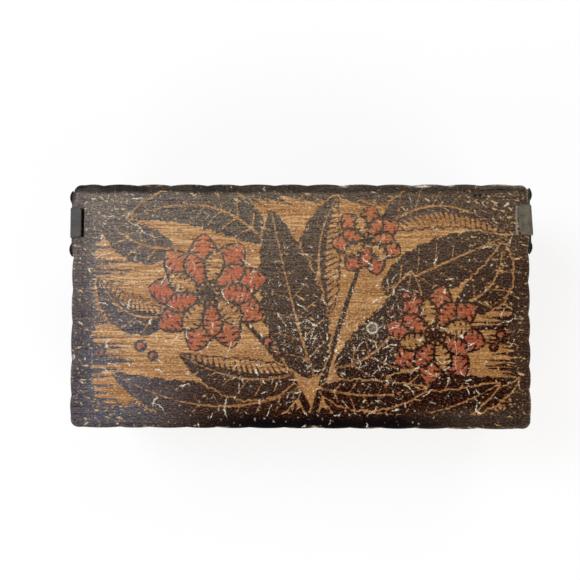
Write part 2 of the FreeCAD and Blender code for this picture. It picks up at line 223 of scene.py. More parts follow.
def waves(place, seed, longest):
    """A smooth wandering line between about -1 and 1."""
    draw = np.random.default_rng(seed)
    turns = [place * 2 * math.pi * (k + 1) ** 1.35 / longest + draw.uniform(0, 6.28) for k in range(5)]
    return sum(np.sin(turn) / (k + 1) ** 0.8 for k, turn in enumerate(turns)) / 2.2


class Burnt:
    """What is burnt and stained on a face: signed distances in millimetres, below zero inside."""

    def __init__(self, x, y):
        self.x, self.y = x, y
        self.burn = np.full(x.shape, NO_MARK)
        self.stain = np.full(x.shape, NO_MARK)

    def near(self, points, reach):
        (left, low), (right, high) = np.min(points, 0) - reach, np.max(points, 0) + reach
        return (self.x > left) & (self.x < right) & (self.y > low) & (self.y < high)

    def near_rib(self, start, bend, end, reach):
        """The points within reach of a bent rib, and where each lies along it."""
        where = self.near([start, bend, end], reach)
        return where, *along_rib(self.x[where], self.y[where], start, bend, end)

    def lay(self, where, outline, burn, stain=None):
        """Lays a motif over what is there."""
        self.burn[where] = np.minimum(np.maximum(self.burn[where], -outline), burn)
        under = np.maximum(self.stain[where], -outline)
        self.stain[where] = under if stain is None else np.minimum(under, stain)

    def line(self, start, end, start_half, end_half):
        where = self.near([start, end], 3)
        mark = stroke(self.x[where], self.y[where], start, end, start_half, end_half)
        self.burn[where] = np.minimum(self.burn[where], mark)

    def stem(self, start, bend, end, half):
        where, t, across, _, _ = self.near_rib(start, bend, end, half + 2)
        body = across - half * (1 - 0.45 * t)
        self.lay(where, body - 0.8, body)

    def leaf(self, start, bend, end, width, pitch, hatched=False):
        """A dark leaf with pale veins, or with one half in close pale strokes."""
        where, t, across, side, length = self.near_rib(start, bend, end, width + 3)
        ripple = 1 + 0.05 * np.sin(t * length * 0.9) + 0.03 * np.sin(t * length * 2.3 + 1)
        rim = width * np.sin(math.pi * t**0.8) ** 0.7 * ripple
        out = across - rim
        run = t * length - 0.8 * across + 0.25 * across * across / width
        rib = np.maximum(across - 0.6 * (1 - 0.7 * t), 0.06 - t)
        vein_end = (0.55 + 0.3 * np.sin(7 * np.round(run / pitch))) * rim
        gaps = np.maximum(bands(run, pitch, 0.34 * (1.15 - t)), across - vein_end)
        if hatched:
            share = np.clip(across / np.maximum(rim, 1), 0, 1)
            half = np.maximum(side * across, 0.3 * rim - across)
            half = np.maximum(half, bands(run, 2.6, 0.45 + 0.75 * share))
            gaps = np.minimum(np.maximum(half, out + 0.7), np.maximum(gaps, -side * across))
        self.lay(where, out - 0.75, np.maximum(out, -np.minimum(rib, gaps)))

    def petal(self, start, bend, end, width, tinted):
        """A petal with a dark outline and short dark bars along both edges."""
        where, t, across, _, length = self.near_rib(start, bend, end, width + 3)
        rim = width * np.sin(math.pi * t**1.35) ** 0.62
        out = across - rim
        share = np.clip(across / np.maximum(rim, 0.5), 0, 1)
        bars = np.maximum(bands(t * length + 1.4 * share * share, 2.5, 0.42), out)
        bars = np.maximum(bars, (0.25 - share) * 3.0)
        self.lay(where, out, np.minimum(np.abs(out + 0.55) - 0.6, bars), out + 0.5 if tinted else None)

    def blossom(self, cx, cy, radius, count, turn, heart, width):
        """Two rings of petals round a dark heart with a ring of pale seeds."""
        for reach, shift in ((1.0, 0.0), (0.72, 0.5)):
            for k in range(count):
                angle = turn + 2 * math.pi * (k + shift) / count
                end = (cx + radius * reach * math.cos(angle), cy + radius * reach * math.sin(angle))
                bent = angle + 0.16
                bend = (cx + 0.5 * radius * math.cos(bent), cy + 0.5 * radius * math.sin(bent))
                self.petal((cx, cy), bend, end, width * reach, shift == 0 or k % 2 == 0)
        where = self.near([(cx, cy)], heart + 3)
        x, y = self.x[where] - cx, self.y[where] - cy
        away = np.hypot(x, y)
        round_ring = bands(np.arctan2(y, x) * heart * 0.72, 2.2, 0.45)
        seeds = np.maximum(np.abs(away - heart * 0.72) - 0.5, round_ring)
        self.lay(where, away - heart, np.maximum(away - heart, -seeds))

    def berry(self, cx, cy, radius):
        where = self.near([(cx, cy)], radius + 3)
        x, y = self.x[where] - cx, self.y[where] - cy
        out = np.hypot(x, y) - radius
        spot = np.hypot(x - 0.3 * radius, y + 0.3 * radius) - 0.35 * radius
        self.lay(where, out, np.minimum(np.abs(out + 0.5) - 0.6, spot), out + 0.4)

    def comb(self, edge, inward, low, high, reach, pitch, seed):
        """Ragged strokes that run in from an upright edge along the grain."""
        draw = np.random.default_rng(seed)
        y = low
        while y < high:
            length = reach * draw.uniform(0.35, 1.0) * (1 + 0.25 * math.sin(y * 0.35 + seed))
            end = (edge + inward * length, y + draw.uniform(-0.7, 0.7))
            self.line((edge, y), end, draw.uniform(0.8, 1.2), 0.25)
            y += pitch * draw.uniform(0.6, 1.5)

    def tufts(self, left, right, foot, tallest, seed):
        """Short grass-like strokes that stand on the dark ground."""
        draw = np.random.default_rng(seed)
        x = left
        while x < right:
            tip = (x + draw.uniform(-1.5, 1.5), foot + draw.uniform(0.35, 1) * tallest)
            self.line((x, foot), tip, draw.uniform(0.6, 1.1), 0.2)
            x += draw.uniform(1.1, 2.3)

    def darken(self, *marks):
        self.burn = np.minimum.reduce([self.burn, *marks])

    def motifs(self, stems, leaves, blossoms, berries):
        """Lays all the motifs of a design, one kind after another."""
        for lay, places in (
            (self.stem, stems), (self.leaf, leaves), (self.blossom, blossoms), (self.berry, berries)
        ):
            for place in places:
                lay(*place)


LID_STEMS = [
    ((4, -44), (-6, -22), (-28, -2), 1.5),
    ((8, -44), (24, -40), (50, -14), 1.5),
    ((6, -44), (14, -14), (26, 20), 1.4),
]
LID_LEAVES = [
    ((34, 6), (60, 18), (88, 30), 11, 8),
    ((36, -30), (66, -44), (90, -30), 9, 7),
    ((-14, 26), (-36, 52), (-72, 36), 9.5, 8),
    ((34, 32), (58, 52), (86, 30), 9.5, 8, True),
    ((-52, 24), (-72, 22), (-84, 40), 8, 7),
    ((-54, -4), (-74, -10), (-84, 12), 8, 7, True),
    ((0, -34), (-36, -52), (-78, -28), 10, 9),
    ((10, -36), (44, -56), (82, -32), 9.5, 9),
    ((-2, -28), (-24, -36), (-50, -20), 8.5, 7, True),
    ((64, 0), (84, 4), (84, 26), 8, 8),
    ((12, -4), (2, 24), (16, 46), 9, 7, True),
    ((14, -26), (42, -22), (46, 14), 12, 8),
    ((6, -30), (-4, 0), (-12, 40), 13, 9),
    ((8, -34), (30, -40), (52, -34), 6, 6),
]
LID_BLOSSOMS = [
    (28, 27, 15, 7, 0.5, 3.4, 4.6),
    (-38, 5, 25, 9, 0.25, 5.6, 6.6),
    (56, -12, 21, 8, 0.6, 4.8, 5.8),
]
LID_BERRIES = [
    (-66, -17, 2.6), (-61, -21, 2.2), (-13, -15, 2.5), (-9, -20, 2.1), (83, -12, 2.4), (80, -17, 2.0),
    (44, 4, 2.4), (38, -2, 2.0), (-82, -20, 2.0), (36, -33, 2.2), (41, -36, 2.0),
]


def lid_design(x, y, edge):
    """The lid's picture: leaves and blossoms in a ragged dark frame."""
    art = Burnt(x, y)
    art.comb(-93, 1, -44, 44, 23, 1.7, 3)
    art.comb(93, -1, -44, 44, 21, 1.45, 5)
    draw = np.random.default_rng(8)
    start = -88.0
    while start < 88:
        long = draw.uniform(3, 9) + 9 * math.exp(-(((start - 52) / 22) ** 2))
        long += 5 * math.exp(-(((start + 74) / 12) ** 2))
        end = (start + long * 1.5, 47.5 - long * draw.uniform(0.5, 0.9))
        art.line((start, 47.5), end, draw.uniform(0.9, 1.5), 0.2)
        start += draw.uniform(2.0, 4.2)
    art.tufts(-90, 90, -43.2, 4.5, 12)
    rim = edge - (3.4 + 0.7 * waves(x + 0.7 * y, 21, 26))
    ground = y + 43.0 + 0.9 * waves(x, 33, 40)
    corner = 20 * (np.hypot((x + 93) / 26, (y - 49) / 23) - 1) + 1.5 * waves(x - y, 51, 12)
    far_corner = 20 * (np.hypot((x - 93) / 24, (y - 49) / 21) - 1) + 1.5 * waves(x + y, 52, 9)
    left, right = x + 86.0 + 1.4 * waves(y, 41, 30), 88.0 + waves(y, 43, 30) - x
    art.darken(rim, ground, corner, far_corner, left, right)
    art.motifs(LID_STEMS, LID_LEAVES, LID_BLOSSOMS, LID_BERRIES)
    art.darken(rim + 0.6, ground + 1.5, corner + 2.0, far_corner + 2.0)
    return art


def rise(value, start, end, least=0, most=1):
    """Goes from 0 where the value is at the start to 1 where it is at the end, held between two limits."""
    return np.clip((value - start) / (end - start), least, most)


def wave_share(place, lows):
    """1 in a low point of the carved edge, 0 on the crest between two, like a row of shallow humps."""
    lows = np.array(lows)
    k = np.clip(np.searchsorted(lows, place) - 1, 0, len(lows) - 2)
    t = np.clip((place - lows[k]) / (lows[k + 1] - lows[k]), 0, 1)
    return np.abs(2 * t - 1) ** 2.2


def lid_grid():
    """The lid's top as a grid whose outer rows follow the rounded, wavy outline."""
    half = np.reshape(LID_HALF, (2, 1, 1))
    even = np.stack(np.meshgrid(*[np.linspace(-h, h, round(2 * h / GRID_STEP) + 1) for h in LID_HALF]))
    side, edge = np.sign(even), half - np.abs(even)
    inward = 1 - edge / LID_CORNER
    corner = (inward > 0).all(0)
    bowed = inward * np.sqrt(np.maximum(1 - inward[::-1] ** 2 / 2, 0))
    from_edge = np.where(corner, LID_CORNER * (1 - np.hypot(*bowed)), edge.min(0))
    x, y = even
    wave = np.stack([
        np.where(x < 0, 0.8 * wave_share(y, LEFT_WAVES), wave_share(y, RIGHT_WAVES)),
        np.where(y > 0, wave_share(x, BACK_WAVES), 0.7 * wave_share(x, FRONT_WAVES)),
    ])
    fade_and_sheen = np.clip(edge[::-1] / 6 - 0.2, 0, 1) * np.clip(1 - edge / 4, 0, 1)
    place = np.where(corner, side * (half - LID_CORNER * (1 - bowed)), even)
    place = place - side * WAVE_DEPTH * wave * fade_and_sheen
    return *place, from_edge, (wave * (edge < 6)).max(0)


def sunk(burn):
    """How much lower a burnt place lies than the rest."""
    return BURN_DEPTH * np.clip(0.5 - burn / 0.5, 0, 1)


def lid_height(x, y, edge, carve, burn):
    """The top's height: a worn arris, a gouge at each low point, and burnt places lower than the rest."""
    arris = np.clip(1 - edge / (ARRIS_WIDE + 0.9 * carve), 0, 1)
    drop = (ARRIS_DEEP + 0.5 * carve) * (1 - np.sqrt(1 - 0.96 * arris**2))
    hurt = 0.25 * raw_share(x, y) * rise(edge, 0, 0.5)
    for cx, cy in PITS:
        hurt = hurt + 0.5 * np.clip(1.5 - np.hypot(x - cx, y - cy) / 0.45, 0, 1)
    hurt = hurt + 0.45 * beside_tab(x, y, LEFT_TAB, 0.9)
    swell = 0.05 * waves(x + 0.3 * y, 61, 120) * waves(y, 62, 70)
    return LID_HIGH - 0.05 - drop - sunk(burn) * rise(edge, 0, 2) - hurt + np.minimum(swell, 0.04)


def attach(piece, **marks):
    """Stores marks with the points of a mesh: one number for all of them, or a number or vector for each."""
    for name, values in marks.items():
        values = np.asarray(values, dtype=np.float32)
        if values.ndim == 0:
            values = np.full(len(piece.data.vertices), values)
        kind, field = ("FLOAT_VECTOR", "vector") if values.ndim == 2 else ("FLOAT", "value")
        piece.data.attributes.new(name, kind, "POINT").data.foreach_set(field, values.ravel())


# Damage down to raw wood: chips (x, y, half length, half width) and one round mark (x, y, radius).
CHIPS = [(51.0, 49.9, 4.2, 0.8), (18.2, 49.9, 2.4, 0.6), (63.0, 50.2, 1.6, 0.5), (-93.9, -21.5, 0.8, 1.2)]
ROUND_MARK = (30.0, -9.3, 2.1)
PITS = [(72.8, 45.8), (74.9, 45.9), (72.3, 34.1), (75.9, 32.6)]


def beside_tab(x, y, tab, wide):
    """1 in the narrow strip along the inner edge of a hinge tab."""
    side, middle, inner = tab
    return (np.abs(side * x - inner + wide / 2) < wide / 2 + 0.1) & (np.abs(y - middle) < 6.1)


def raw_share(x, y):
    """How far the finish is gone: 1 in a chip or on the round mark. Beside the right tab it is partly a
    painted highlight.
    """
    share = np.zeros(x.shape)
    for cx, cy, long, wide in CHIPS:
        share = np.maximum(share, 1.6 - 1.6 * np.hypot((x - cx) / long, (y - cy) / wide))
    away = np.hypot(x - ROUND_MARK[0], y - ROUND_MARK[1])
    share = np.maximum(share, 1.2 - np.abs(away - ROUND_MARK[2]) / 0.45)
    from_arris = np.minimum(np.abs(LID_HALF[1] - y), 2.2 * np.abs(LID_HALF[0] - x))
    corner = rise(x, 78, 82) * (y > 44) * np.clip(1.3 - from_arris / 0.7, 0, 1)
    share = np.maximum(share, 0.55 * corner * (1 + 0.8 * waves(x + y, 77, 7)))
    # A pale strip along the right tab's inner edge: partly rubbed wood, partly a painted highlight of the lit
    # edge.
    share = np.maximum(share, 0.3 * beside_tab(x, y, RIGHT_TAB, 0.8))
    return np.clip(np.maximum(share, 0.3 - away / 6), 0, 1)


px, py, edge, carve = lid_grid()
art = lid_design(px, py, edge)
pz = lid_height(px, py, edge, carve, art.burn)
rows, columns = px.shape
index = np.arange(rows * columns).reshape(rows, columns)
points = list(zip(px.ravel(), py.ravel(), pz.ravel()))
faces = np.stack([index[:-1, :-1], index[:-1, 1:], index[1:, 1:], index[1:, :-1]], -1)
faces = faces.reshape(-1, 4).tolist()
ring = np.concatenate([index[0, :-1], index[:-1, -1], index[-1, :0:-1], index[:0:-1, 0]])
outline = [points[k] for k in ring]
# The edge below the arris: how far out of the outline and how high each row of points is. The way out of
# the outline is away from the nearest place of a smaller rectangle inside it.
INNER_HALF = (88, 44)
EDGE_ROWS = [(0.0, 62.2), (0.0, 60.9), (0.0, 59.5), (0.0, 58.3), (-0.15, 57.5), (-0.55, 57.05), (-1.1, 57.0)]
above = ring
for out, height in EDGE_ROWS:
    first = len(points)
    for x, y, _ in outline:
        away = [c - math.copysign(min(abs(c), half), c) for c, half in zip((x, y), INNER_HALF)]
        away = Vector((*away, 0)).normalized()
        points.append((x + out * away.x, y + out * away.y, height))
    below = np.arange(first, len(points))
    faces += np.stack([above, below, np.roll(below, -1), np.roll(above, -1)], -1).tolist()
    above = below
under_face = len(faces)
faces.append(above[::-1].tolist())


def coated(add, base, *coats):
    """A colour with others laid over it; each coat is how much it covers, and its colour."""
    for share, tint in coats:
        base = add("Mix", {0: share, 6: base, 7: tint}, out=2, data_type="RGBA")
    return base


def scratches(add, place, pitch, longest, thin, share, seed, spread=6.283):
    """Short, slightly bent marks, at most one for each cell of a random pattern; 1 in a mark."""
    shifted = add("VectorMath", [place, (seed, seed * 1.7, 0)], "ADD")
    bend = add("TexNoise", {"Vector": shifted, "Scale": 0.11, "Detail": 2.0}, out="Color")
    bent = add("VectorMath", [bend, (7, 7, 0), shifted], "MULTIPLY_ADD")
    cell = add("TexVoronoi", {"Vector": bent, "Scale": 1 / pitch}, out=None, voronoi_dimensions="2D").outputs
    away = add("VectorMath", [bent, cell["Position"]], "SUBTRACT")
    luck = add("SeparateColor", [cell["Color"]], out=None).outputs
    angle = add("Math", [luck[0], spread], "MULTIPLY")
    turned = add("VectorRotate", {"Vector": away, "Angle": angle}, rotation_type="Z_AXIS")
    axes = add("SeparateXYZ", [add("VectorMath", [turned], "ABSOLUTE")], out=None).outputs
    reach = add("Math", [luck[1], longest], "MULTIPLY")
    left = add("Math", [reach, axes[0]], "SUBTRACT")
    inside = add("MapRange", [left, 0.0, 0.8])
    line = add("MapRange", [axes[1], thin, thin * 0.35])
    mark = add("Math", [inside, line], "MULTIPLY")
    there = add("Math", [luck[2], share], "LESS_THAN")
    return add("Math", [mark, there], "MULTIPLY")


def burnt_wood(name):
    """Basswood, burnt and stained, under old satin varnish: amber with fine grain, dark where burnt."""
    material, add = new_material(name)
    face = add("Attribute", out="Vector", attribute_name="face")
    burn, stain, edge, faded, scuffed, raw, sooted, picked = [
        add("Attribute", out="Fac", attribute_name=mark)
        for mark in ("burn", "stain", "edge", "faded", "scuffed", "raw", "sooted", "picked")
    ]

    # Fibres run along the board, so most of these noises are drawn out along the grain. Real ones are too
    # fine to show, so they are as coarse as they need to be.
    noises = []
    for along, across, detail, roughness in (
        (0.05, 1.15, 5.0, 0.65), (0.011, 0.16, 3.0, 0.5), (0.4, 1.3, 4.0, 0.7), (0.21, 2.3, 2.0, 0.6),
        (1.0, 1.7, 2.0, 0.7), (0.04, 0.04, 4.0, 0.6), (1.6, 1.6, 3.0, 0.7), (0.75, 0.95, 3.0, 0.6),
        (1.15, 1.45, 3.0, 0.75),
    ):
        drawn = add("Mapping", {"Vector": face, "Scale": (along, across, 1.0)})
        inputs = {"Vector": drawn, "Scale": 1.0, "Detail": detail, "Roughness": roughness}
        noises.append(add("TexNoise", inputs))
    fibre, rings, fray, dash, sand, cloud, grit, blot, chaff = noises
    weave = add("Mix", {0: 0.55, 2: fibre, 3: sand})

    # Where it is burnt and stained, with edges frayed along the fibres.
    ragged = add("MapRange", [fray, 0.25, 0.75, -0.42, 0.42])
    burn = add("Math", [burn, ragged], "ADD")
    dark = add("MapRange", [burn, 0.1, -0.1])
    scorch = add("MapRange", [faded, 0.0, 1.0, 0.3, 0.05])
    singed = add("MapRange", [burn, 0.5, 0.0, 0.0, scorch])
    stain = add("Math", [stain, ragged], "ADD")
    red = add("MapRange", [stain, 0.35, -0.35])
    thin_stain = add("MapRange", [cloud, 0.3, 0.7, 0.55, 0.98])
    red = add("Math", [red, thin_stain], "MULTIPLY")

    # The bare wood, stained amber and red, paler where it has bleached and where a painted sheen lies.
    axes = add("SeparateXYZ", [face], out=None).outputs
    low_down = add("MapRange", [axes[1], 34.0, -30.0])
    light_grain, dark_grain, dashed, ringed = [
        add("MapRange", [noise, start, end, 0.0, most])
        for noise, start, end, most in (
            (sand, 0.54, 0.68, 0.85), (sand, 0.46, 0.33, 0.8),
            (dash, 0.53, 0.62, 0.8), (rings, 0.42, 0.62, 0.7),
        )
    ]
    bleached_and_sheen = add("Math", [faded, 0.8], "MULTIPLY")
    amber, pale, reds = [
        add("ValToRGB", [fibre], stops=stops)
        for stops in (
            ((0.38, "#7c5026"), (0.5, "#9f6f3b"), (0.62, "#bd8b4d")),
            ((0.4, "#8d6138"), (0.5, "#be935f"), (0.61, "#dfb985")),
            ((0.38, "#5e1a10"), (0.5, "#8b321c"), (0.62, "#ab502d")),
        )
    ]
    amber = coated(add, amber, (bleached_and_sheen, pale), (ringed, "#875626"), (dashed, "#613b1c"))
    amber = coated(add, amber, (dark_grain, "#724822"), (light_grain, "#d6b080"))
    pale = coated(add, "#bd6c46", (low_down, "#a84f3e"))
    reds = coated(add, reds, (bleached_and_sheen, pale), (dark_grain, "#4e170e"), (light_grain, "#c07a5a"))
    bare = coated(add, amber, (red, reds), (singed, "#562a17"))

    # Burnt wood is brown-black; where the years have rubbed it, the fibres show amber again. Where it has
    # faded and where the painted sheen lies it shows grey, and soot and the painted shadow beside the left
    # tab make it near black.
    black = add("ValToRGB", [sand], stops=((0.4, "#060202"), (0.53, "#1e0b06"), (0.66, "#663a22")))
    grey, older_and_sheen_grey, cool_sheen_grey = [
        add("ValToRGB", [weave], stops=stops)
        for stops in (
            ((0.38, "#2c2019"), (0.5, "#523f33"), (0.62, "#7a6450")),
            ((0.4, "#231c17"), (0.5, "#4f4438"), (0.6, "#7a6b57")),
            ((0.39, "#22232d"), (0.5, "#434553"), (0.61, "#676a78")),
        )
    ]
    # Low down on the left the greys turn bluish: a painted reflection of the cool window lamp.
    to_left = add("MapRange", [axes[0], -34.0, -74.0, 0.0, 0.8])
    cool_sheen = add("Math", [to_left, low_down], "MULTIPLY")
    sparse_grain = add("Math", [light_grain, 0.6], "MULTIPLY")
    grey = coated(add, grey, (faded, older_and_sheen_grey), (dark_grain, "#231c18"))
    grey = coated(add, grey, (sparse_grain, "#857560"), (cool_sheen, cool_sheen_grey))
    streak = add("Math", [dashed, faded], "MULTIPLY")
    rubbed = add("Math", [cloud, faded], "MULTIPLY")
    fleck = add("Math", [blot, add("MapRange", [rubbed, 0.1, 0.5, 0.68, 0.62])], "SUBTRACT")
    fleck = add("MapRange", [fleck, 0.0, 0.03, 0.0, 0.85])
    fleck = add("Math", [fleck, sooted], "SUBTRACT", use_clamp=True)
    black = coated(add, black, (faded, grey), (streak, "#6d5c46"), (sooted, "#0a0607"))
    black = coated(add, black, (fleck, coated(add, amber, (faded, "#b79a70"))))
    # Small pale picks left between the burnt strokes, in loose rows along the grain.
    rough_place = [sand.node.outputs[1], (1.6, 1.6, 0), face]
    rough_place = add("VectorMath", rough_place, "MULTIPLY_ADD")
    pick = scratches(add, rough_place, 3.1, 1.8, 0.32, picked, 17, 0.6)
    small_pick = scratches(add, rough_place, 1.5, 0.75, 0.3, picked, 29, -0.9)
    pick = add("Math", [pick, small_pick], "MAXIMUM")
    pick = add("Math", [pick, sooted], "SUBTRACT", use_clamp=True)
    black = coated(add, black, (pick, coated(add, "#c09862", (faded, "#c9ab80"))))

    # Old scuffs: cream scratches and flecks down to the raw wood, in patches.
    patchy = add("MapRange", [cloud, 0.38, 0.60, 0.35, 1.1])
    worn = add("Math", [patchy, scuffed], "MULTIPLY")
    chaff = add("Math", [chaff, add("MapRange", [worn, 0.1, 1.0, 0.71, 0.615])], "SUBTRACT")
    scuff = add("Math", [raw, add("MapRange", [chaff, 0.0, 0.03])], "MAXIMUM")
    for pitch, longest, thin, seed in (
        (17, 9.0, 0.17, 37), (9, 4.0, 0.22, 64), (4.6, 1.9, 0.3, 91), (2.3, 0.8, 0.32, 153)
    ):
        mark = scratches(add, rough_place, pitch, longest, thin, worn, seed)
        scuff = add("Math", [scuff, mark], "MAXIMUM")
    broken = add("MapRange", [grit, 0.4, 0.52, 0.2, 1.0])
    scuff = add("Math", [scuff, broken], "MULTIPLY")
    cream = add("ValToRGB", [grit], stops=((0.4, "#b3a17e"), (0.58, "#efe6cd")))

    # The arris is rubbed through to pale wood in places.
    rub_line = add("Math", [fray, cloud], "MULTIPLY")
    rub_line = add("MapRange", [rub_line, 0.24, 0.36, -0.2, 1.3])
    chip = add("Math", [rub_line, edge], "SUBTRACT")
    chip = add("MapRange", [chip, 0.0, 0.25, 0.0, 0.7])
    surface = coated(add, bare, (dark, black), (scuff, cream), (chip, "#a08a6a"))

    dull = add("MapRange", [cloud, 0.3, 0.7, 0.34, 0.44])
    dull = add("Mix", {0: scuff, 2: dull, 3: 0.8})
    charred = add("Math", [dark, faded], "SUBTRACT")
    charred = add("Math", [charred, sooted], "MAXIMUM", use_clamp=True)
    shine = add("MapRange", [charred, 0.0, 1.0, 0.36, 0.06])
    relief = fibre
    for height, share in ((sand, 0.3), (scuff, -0.5), (fray, 0.35)):
        relief = add("Math", [height, share, relief], "MULTIPLY_ADD")
    bump = add("Bump", {"Height": relief, "Strength": 0.5, "Distance": 0.00006})
    inputs = {"Base Color": surface, "Roughness": dull, "Specular IOR Level": shine, "Normal": bump}
    add("OutputMaterial", [add("BsdfPrincipled", inputs)], out=None)
    return material


def plain_wood(name, tones, grain, darkened, burnt_edge=False):
    """Unvarnished basswood: pale, with fine fibres, short pores, faint bands of growth, marks and grime."""
    material, add = new_material(name)
    mm = add("VectorMath", [add("TexCoord", out="Object"), TO_MM], "MULTIPLY")
    long_way, short_way = [
        add("Mapping", {"Vector": mm, "Scale": (drawn, 1, 1) if grain == "x" else (1, drawn, 1)})
        for drawn in (0.03, 0.16)
    ]
    # Fibres and pores are drawn coarser than real ones, which would not show.
    fibre, band, pore, cloud = [
        add("TexNoise", {"Vector": place, "Scale": scale, "Detail": detail, "Roughness": roughness})
        for place, scale, detail, roughness in (
            (long_way, 1.8, 6.0, 0.75), (long_way, 0.2, 3.0, 0.6),
            (short_way, 3.0, 2.0, 0.6), (mm, 0.04, 6.0, 0.7),
        )
    ]
    banded, open_pore, bright, grime = [
        add("MapRange", [noise, start, end, 0.0, most])
        for noise, start, end, most in (
            (band, 0.42, 0.62, 0.5), (pore, 0.57, 0.68, 0.6),
            (pore, 0.44, 0.33, 0.5), (cloud, 0.45, 0.7, darkened),
        )
    ]
    # Slanted, so that marks keep their shape on the level faces and on all the upright ones.
    height = add("SeparateXYZ", [mm], out="Z")
    slanted = add("VectorMath", [height, (0.9, 0.9, 0), mm], "MULTIPLY_ADD")
    scored = scratches(add, slanted, 13, 6.0, 0.2, 0.3, 61)
    nicked = scratches(add, slanted, 6, 1.4, 0.3, 0.25, 83)
    deep, middle, light = tones
    wood = add("ValToRGB", [fibre], stops=((0.34, deep), (0.5, middle), (0.66, light)))
    wood = coated(add, wood, (banded, deep), (open_pore, "#6e5030"), (bright, light), (grime, "#5c4428"))
    wood = coated(add, wood, (scored, light), (nicked, "#4b3722"))
    if burnt_edge:
        burn = add("Attribute", out="Fac", attribute_name="burn")
        ragged = add("MapRange", [cloud, 0.3, 0.7, -1.2, 1.2])
        burn = add("Math", [burn, ragged], "ADD")
        burnt = add("ValToRGB", [fibre], stops=((0.35, "#1d110c"), (0.6, "#38261b")))
        wood = coated(add, wood, (add("MapRange", [burn, 0.5, -0.5]), burnt))
    relief = add("Math", [pore, -0.5, fibre], "MULTIPLY_ADD")
    bump = add("Bump", {"Height": relief, "Strength": 0.5, "Distance": 0.00015})
    shader = add("BsdfPrincipled", {"Base Color": wood, "Roughness": 0.72, "Normal": bump})
    add("OutputMaterial", [shader], out=None)
    return material


lid_finish = burnt_wood("burnt stained basswood lid")
lid_under = plain_wood("plain basswood under the lid", ("#a17b4d", "#bd9765", "#d0ae7f"), "x", 0.4)
lid = mesh_object("lid_board_carved", points, faces, lid_finish, lid_under)
lid.data.polygons[under_face].material_index = 1
# The pattern folds down over the edge, which is burnt all over.
rim = np.array(points)[px.size :]
down = LID_HIGH - rim[:, 2]
on_long = np.abs(rim[:, 1]) > LID_HALF[1] - 1.5
x = np.concatenate([px.ravel(), rim[:, 0] + np.where(on_long, 0, np.sign(rim[:, 0]) * down)])
y = np.concatenate([py.ravel(), rim[:, 1] + np.where(on_long, np.sign(rim[:, 1]) * down, 0)])
# A black strip without sheen along the left tab's inner edge: the painted shadow of the tab.
left_tab_shadow = beside_tab(x, y, LEFT_TAB, 0.9)
burn = np.concatenate([art.burn.ravel(), np.full(len(rim), DEEP_MARK)])
# It is paler and greyer on the left and at the back, and least beside the left edge: partly fading, partly a
# painted sheen that stands for the window's reflection.
fade_and_sheen = np.clip(0.48 - 0.0046 * x + 0.0115 * y, 0, 1)
fade_and_sheen = np.maximum(fade_and_sheen, rise(-x, 32, 77, 0, 0.88) * rise(y, -52, -48))
fade_and_sheen = np.maximum(fade_and_sheen, 0.2 * rise(x, 84, 90))
fade_and_sheen = np.maximum(fade_and_sheen, 0.3 * rise(x, 40, 65) * rise(-y, 41, 44))
fade_and_sheen = fade_and_sheen * (1 - 0.34 * rise(-x, 86, 91))
# Soot lies along the back and front edges, and the pits are darker; beside the left tab lies a painted shadow
# of the tab.
from_back, from_front = LID_HALF[1] - y, LID_HALF[1] + y
soot = 0.65 - 0.0022 * x + 0.12 * waves(x, 83, 35)
soot = soot * rise(4.3 + 0.5 * waves(x, 81, 20) - from_back, 0, 1.2)
front = rise(6.8 + waves(x, 82, 30) - from_front, 0, 4) * rise(x, -60, -20, 0.04)
soot = np.maximum(soot, front * (1 - 0.62 * rise(x, 40, 70)))
for cx, cy in PITS:
    soot = np.maximum(soot, np.clip(2.3 - np.hypot(x - cx, y - cy) / 0.4, 0, 1))
# Picks are many at both ends and at the back on the right; scuffs are many right of the middle.
picks = 0.45 * rise(-x, 66, 74) * rise(x, -94, -89, 0.1) + 0.5 * rise(x, 66, 76) * rise(y, 16, 28)
picks += 0.6 * rise(x, 74, 82) * rise(-x, -94.5, -91.5, 0.1) + 0.12 * rise(y, -38, -18) + 0.05
busy = np.exp(-(((x - 14) / 54) ** 2) - ((y + 18) / 32) ** 2)
attach(
    lid,
    face=np.stack([x, y, np.zeros_like(x)], -1),
    burn=np.where(left_tab_shadow, DEEP_MARK, burn),
    stain=np.concatenate([art.stain.ravel(), np.full(len(rim), NO_MARK)]),
    edge=np.concatenate([edge.ravel(), 0.3 + 0.9 * (EDGE_ROWS[0][1] - rim[:, 2])]),
    faded=fade_and_sheen * ~left_tab_shadow,
    sooted=np.maximum(soot, left_tab_shadow),
    picked=picks * (0.75 + 0.4 * waves(x + 2 * y, 91, 40)),
    scuffed=(0.15 + busy) * np.clip((LID_HALF[1] - np.abs(y)) / 6, 0.6, 1),
    raw=raw_share(x, y),
)
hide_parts("lid_board")
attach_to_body(lid, "lid")


# The walls: four thin basswood boards, finger-jointed at the corners and glued. Outside they are burnt
# and stained like the lid, with dark corners and a row of leaves; inside they are plain.
WALL_LOW, WALL_HIGH, WALL_THICK = 4.8, 57.0, 6.4
CASE_HALF = (93.65, 48.75)
FINGERS = 7
CELL, SOFTENED = 0.62, 0.3
PIVOT_Y, PIVOT_Z, SWING = 35.15, 31.6, 25.1
PICTURE_MIDDLE = 30.0


def ruled(fixed, step, soft):
    """Grid lines through all fixed places, one more just inside each, and the rest at even steps."""
    lines = []
    for low, high in zip(fixed[:-1], fixed[1:]):
        inner = np.linspace(low + soft, high - soft, max(2, math.ceil((high - low) / step)))
        lines += [low, *inner]
    return np.array(lines + [fixed[-1]])


